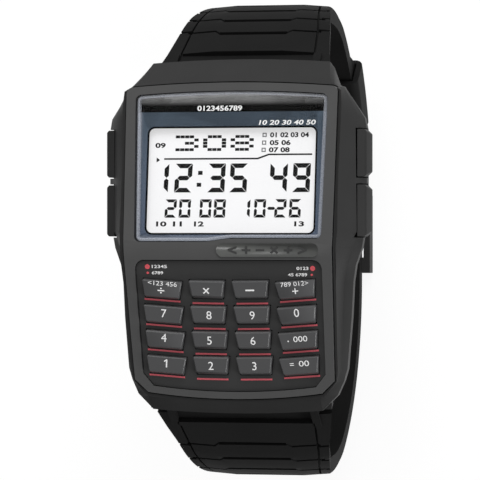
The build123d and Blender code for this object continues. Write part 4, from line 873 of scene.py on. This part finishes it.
def key_frame(row, column, right, up):
    """The matrix of a spot on a key, from the middle of its face."""
    x, middle = key_middle(row, column)
    face = face_frame(KEYPAD_TILT, SIGN_DEPTH, x, middle, KEY_TURNS[column])
    return face @ Matrix.Translation((right * MM, up * MM, 0))


print("middle of the last key:", [round(part, 2) for part in key_middle(3, 3)])

# %% Figures and signs, their heights and how far they sit from the middle of their key
FIGURE_HEIGHT = 1.18
USUAL_SHIFT = (0, -0.1)

key_signs = [["÷", "×", "−", "+"], ["7", "8", "9", "0"], ["4", "5", "6", "."], ["1", "2", "3", "="]]
sign_height = {"÷": 0.85, "×": 0.92, "−": 0.22, "+": 0.85, ".": 0.22, "=": 0.36}
sign_shift = {
    "÷": (-0.08, -0.24), "+": (-0.05, -0.24), "×": (-0.05, -0.25), "−": (-0.05, -0.16),
    ".": (-1.42, -0.02), "=": (-1.05, 0.28), "7": (0.1, 0.15), "4": (-0.12, 0.27),
    "1": (-0.12, 0.22), "0": (0.0, 0.3), "8": (0.15, -0.1), "9": (0.1, -0.1),
}
plain_one = [(0.08, -0.59), (0.27, -0.59), (0.27, 0.59), (0.12, 0.59), (-0.2, 0.36), (-0.2, 0.17),
             (0.08, 0.34)]
for row, names in enumerate(key_rows):
    for column, body in enumerate(names):
        text = key_signs[row][column]
        place = key_frame(row, column, *sign_shift.get(text, USUAL_SHIFT))
        if text == "1":
            plates(f"{body}_sign", [plain_one], PRINT_THICKNESS, white_finish, place, body)
            continue
        sign(f"{body}_sign", text, sign_height.get(text, FIGURE_HEIGHT), place, body, white_finish)
print("signs:", sum(len(row) for row in key_signs))

# %% Small numbers on four keys: row, column, text, height, width, shift to the right and up
key_numbers = [
    (0, 0, "<123 456", 0.64, 4.2, 0.1, 0.8),
    (0, 3, "789 012>", 0.64, 4.0, -0.05, 0.8),
    (2, 3, "000", 0.82, 2.0, 0.35, 0.2),
    (3, 3, "00", 0.82, 1.45, 0.7, 0.3),
]
for row, column, text, height, width, right, up in key_numbers:
    body = key_rows[row][column]
    place = key_frame(row, column, right, up)
    sign(f"{body}_numbers", text, height, place, body, white_finish, width)
print("keys with numbers:", len(key_numbers))

# %% [markdown]
# ## Red marks on the keypad
#
# A thin red line is printed on the plate under each key, a little longer in the outer columns. The
# lines repeat, so the plate tree from before sets them. In the two upper corners a red ring and a red
# dot point at the pushers, each with plain white numbers.

# %% Lines under the keys
PLATE_DEPTH = 0.4
LINE_LIFT = 0.01
LINE_HEIGHT = 0.25
LINE_LENGTHS = {"outer": 5.2, "inner": 4.55}
LINE_DROPS = [1.86, 2.28, 2.28, 1.86]

line_spots = {"outer": [], "inner": []}
for row in range(len(key_rows)):
    for column, turn in enumerate(KEY_TURNS):
        x, middle = key_middle(row, column)
        right = LINE_DROPS[column] * sin(radians(turn))
        down = LINE_DROPS[column] * cos(radians(turn))
        group = "outer" if column in (0, 3) else "inner"
        line_spots[group].append((x + right, middle - down, turn))
keypad_face = face_frame(KEYPAD_TILT, PLATE_DEPTH - LINE_LIFT)
for group, length in LINE_LENGTHS.items():
    line_size = {"Width": length, "Height": LINE_HEIGHT, "Thickness": FILM_THICKNESS}
    lines = repeated_plates(f"red_lines_{group}", line_spots[group], line_size, red_finish, keypad_face)
print("red lines:", sum(len(spots) for spots in line_spots.values()))

# %% Rings and dots
RING_SIDES = 24
RING_RADIUS, RING_HOLE = 0.36, 0.15
CENTRE_RADIUS, CENTRE_THICKNESS = 0.17, 0.02


def circle(x, y, radius):
    """A closed outline near enough a circle."""
    turns = [2 * pi * side / RING_SIDES for side in range(RING_SIDES)]
    return [(x + radius * cos(turn), y + radius * sin(turn)) for turn in turns]


ring_places = ((-11.7, -2.52), (12.1, -2.74))
dot_circles = ((-11.69, -3.42, 0.18), (11.93, -3.66, 0.15))
ring_bars = []
for ring_x, ring_y in ring_places:
    outer, inner = circle(ring_x, ring_y, RING_RADIUS), circle(ring_x, ring_y, RING_HOLE)
    for side in range(RING_SIDES):
        after = (side + 1) % RING_SIDES
        ring_bars.append([outer[side], outer[after], inner[after], inner[side]])
red_dots = [circle(x, y, radius) for x, y, radius in dot_circles]
centre_outlines = [circle(x, y, CENTRE_RADIUS) for x, y in ring_places]
centres = plates("red_ring_centres", centre_outlines, CENTRE_THICKNESS, red_finish, keypad_face)
red_marks = plates("red_rings_and_dots", ring_bars + red_dots, FILM_THICKNESS, ring_finish,
                   keypad_face)
print("red rings:", len(ring_places), "red dots:", len(red_dots))

# %% Numbers beside the rings and dots: name, text, place to the right and up, width
PLATE_NUMBER_LIFT = 0.02
PLATE_NUMBER_HEIGHT = 0.46
PLATE_NUMBER_BOLD = 0.02

plate_numbers = [
    ("left_ring_number", "12345", -9.95, -2.5, 2.2),
    ("left_dot_number", "6789", -10.28, -3.42, 1.65),
    ("right_ring_number", "0123", 10.65, -2.74, 1.7),
    ("right_dot_number", "45 6789", 9.9, -3.66, 2.75),
]
for name, text, x, up, width in plate_numbers:
    place = face_frame(KEYPAD_TILT, PLATE_DEPTH - PLATE_NUMBER_LIFT, x, up)
    sign(name, text, PLATE_NUMBER_HEIGHT, place, "case", white_finish, width,
         bold=PLATE_NUMBER_BOLD)
print("numbers on the plate:", len(plate_numbers))

# %% Raised signs on the oval plate
OVAL_X, OVAL_Y = 5.8 * MM, -1.42 * MM
OVAL_SIGN_HEIGHT, OVAL_SIGN_WIDTH, OVAL_SIGN_BOLD = 1.1, 11.2, 0.03

plate_place = Matrix.Translation((OVAL_X, OVAL_Y, plate_top - PLATE_SINK / 2))
oval_signs = sign("plate_signs", "< + − × ÷ >", OVAL_SIGN_HEIGHT, plate_place, "case",
                  slot_finish["chip_black"], OVAL_SIGN_WIDTH, bold=OVAL_SIGN_BOLD)
print("raised signs:", len(oval_signs.data.polygons), "faces")

# %% [markdown]
# ## Floor, lights and camera
#
# The watch stands on a white table, like a picture cut out for a catalogue. The camera and reflections
# see it nearly glow, with just enough plain grey in it to keep the soft shadow of the watch; as a
# source of diffuse light it is only that grey, so the flanks stay dark. The world does the same: white
# where the camera or a reflection looks at it, and as a light dim at the foot and brighter above. A
# large soft light stands behind the hood, which keeps the nose in shade, and a small one low on the
# right draws the bright line along the right edge of every key. The camera looks down on the dial,
# thirteen degrees from the right.

# %% Floor
FLOOR_HALF = 1.5
TABLE_GLOW = 0.87


def white_rays(tree):
    """The output that is one for camera, glossy and transmission rays, which see white."""
    seen = add_node(tree, "ShaderNodeLightPath").outputs
    sharp = add_node(tree, "ShaderNodeMath", {"operation": "MAXIMUM"}, _0=seen["Is Glossy Ray"],
                     _1=seen["Is Transmission Ray"])
    either = add_node(tree, "ShaderNodeMath", {"operation": "MAXIMUM"}, _0=seen["Is Camera Ray"],
                      _1=sharp.outputs["Value"])
    return either.outputs["Value"]


floor_mesh = bpy.data.meshes.new("table")
floor_outline = rectangle(-FLOOR_HALF, -FLOOR_HALF, 2 * FLOOR_HALF, 2 * FLOOR_HALF)
floor_mesh.from_pydata([(x, y, 0) for x, y in floor_outline], [], [(0, 1, 2, 3)])
floor = linked("table", floor_mesh)
floor_finish, tree, output = new_material("white_table")
glow = add_node(tree, "ShaderNodeMath", {"operation": "MULTIPLY"}, _0=white_rays(tree),
                _1=TABLE_GLOW)
table = add_node(tree, "ShaderNodeBsdfPrincipled", Base_Color=linear("#707070"), Roughness=0.9,
                 Emission_Color=linear("#ffffff"), Emission_Strength=glow.outputs["Value"],
                 Specular_IOR_Level=0.0)
tree.links.new(table.outputs["BSDF"], output.inputs["Surface"])
floor_mesh.materials.append(floor_finish)
floor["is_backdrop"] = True
print("table:", 2 * FLOOR_HALF, "m square")

# %% World, brighter in some directions than in others
EVEN_LIGHT = 0.3
LEAN_OF_LIGHT = (0.06, 0.28, 0.32)

world = bpy.data.worlds.new("studio")
bpy.context.scene.world = world
world.use_nodes = True
tree = world.node_tree
tree.nodes.clear()
direction = add_node(tree, "ShaderNodeTexCoord").outputs["Generated"]
leaning = add_node(tree, "ShaderNodeVectorMath", {"operation": "DOT_PRODUCT"}, _0=direction,
                   _1=LEAN_OF_LIGHT)
strength = add_node(tree, "ShaderNodeMath", {"operation": "ADD"}, _0=leaning.outputs["Value"],
                    _1=EVEN_LIGHT)
shown = add_node(tree, "ShaderNodeMix", {"data_type": "FLOAT"}, Factor=white_rays(tree),
                 _2=strength.outputs["Value"], _3=1.0)
background = add_node(tree, "ShaderNodeBackground", Color=linear("#ffffff"),
                      Strength=shown.outputs[0])
output = add_node(tree, "ShaderNodeOutputWorld")
tree.links.new(background.outputs["Background"], output.inputs["Surface"])
print("world light from straight above:", EVEN_LIGHT + LEAN_OF_LIGHT[2])


# %% Lamps
def soft_lamp(name, place, aim, size, power):
    """A square softbox at a place, turned to its aim."""
    lamp = bpy.data.lights.new(name, "AREA")
    lamp.shape = "SQUARE"
    lamp.size = size
    lamp.energy = power
    carrier = linked(name, lamp)
    carrier.location = place
    carrier.rotation_euler = (Vector(aim) - Vector(place)).to_track_quat("-Z", "Y").to_euler()


dial = Vector((0, 0, RIDGE_Z))
soft_lamp("rear_softbox", (0.1, 0.6, 0.5), dial, size=0.5, power=3.5)
soft_lamp("right_softbox", (0.5, -0.22, 0.12), dial, size=0.2, power=2)
print("lamps:", len(bpy.data.lights))

# %% Camera
VIEW_ANGLE = radians(13)
CAMERA_DISTANCE = 0.5
FIELD_WIDTH = 67.2 * MM
SIDE_STEP = 1.89 * MM
SENSOR_WIDTH = 36

camera_data = bpy.data.cameras.new("camera")
camera_data.sensor_width = SENSOR_WIDTH
camera_data.lens = SENSOR_WIDTH * CAMERA_DISTANCE / FIELD_WIDTH
camera = linked("camera", camera_data)
camera.matrix_world = (Matrix.Translation(dial) @ Matrix.Rotation(VIEW_ANGLE, 4, "Y")
                       @ Matrix.Translation((SIDE_STEP, 0, CAMERA_DISTANCE)))
bpy.context.scene.camera = camera
bpy.context.scene.view_settings.view_transform = "Standard"
print("focal length in mm:", round(camera_data.lens, 1))

# %% [markdown]
# ## Measure and finish
#
# The boxes of the CAD and of the finished model are printed side by side. The finished model has to
# fill the same box as the CAD.

# %% Sizes
boxes = {"cad": [list(corner) for corner in cad_box], "visual": [list(corner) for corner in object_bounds()]}
print(boxes)
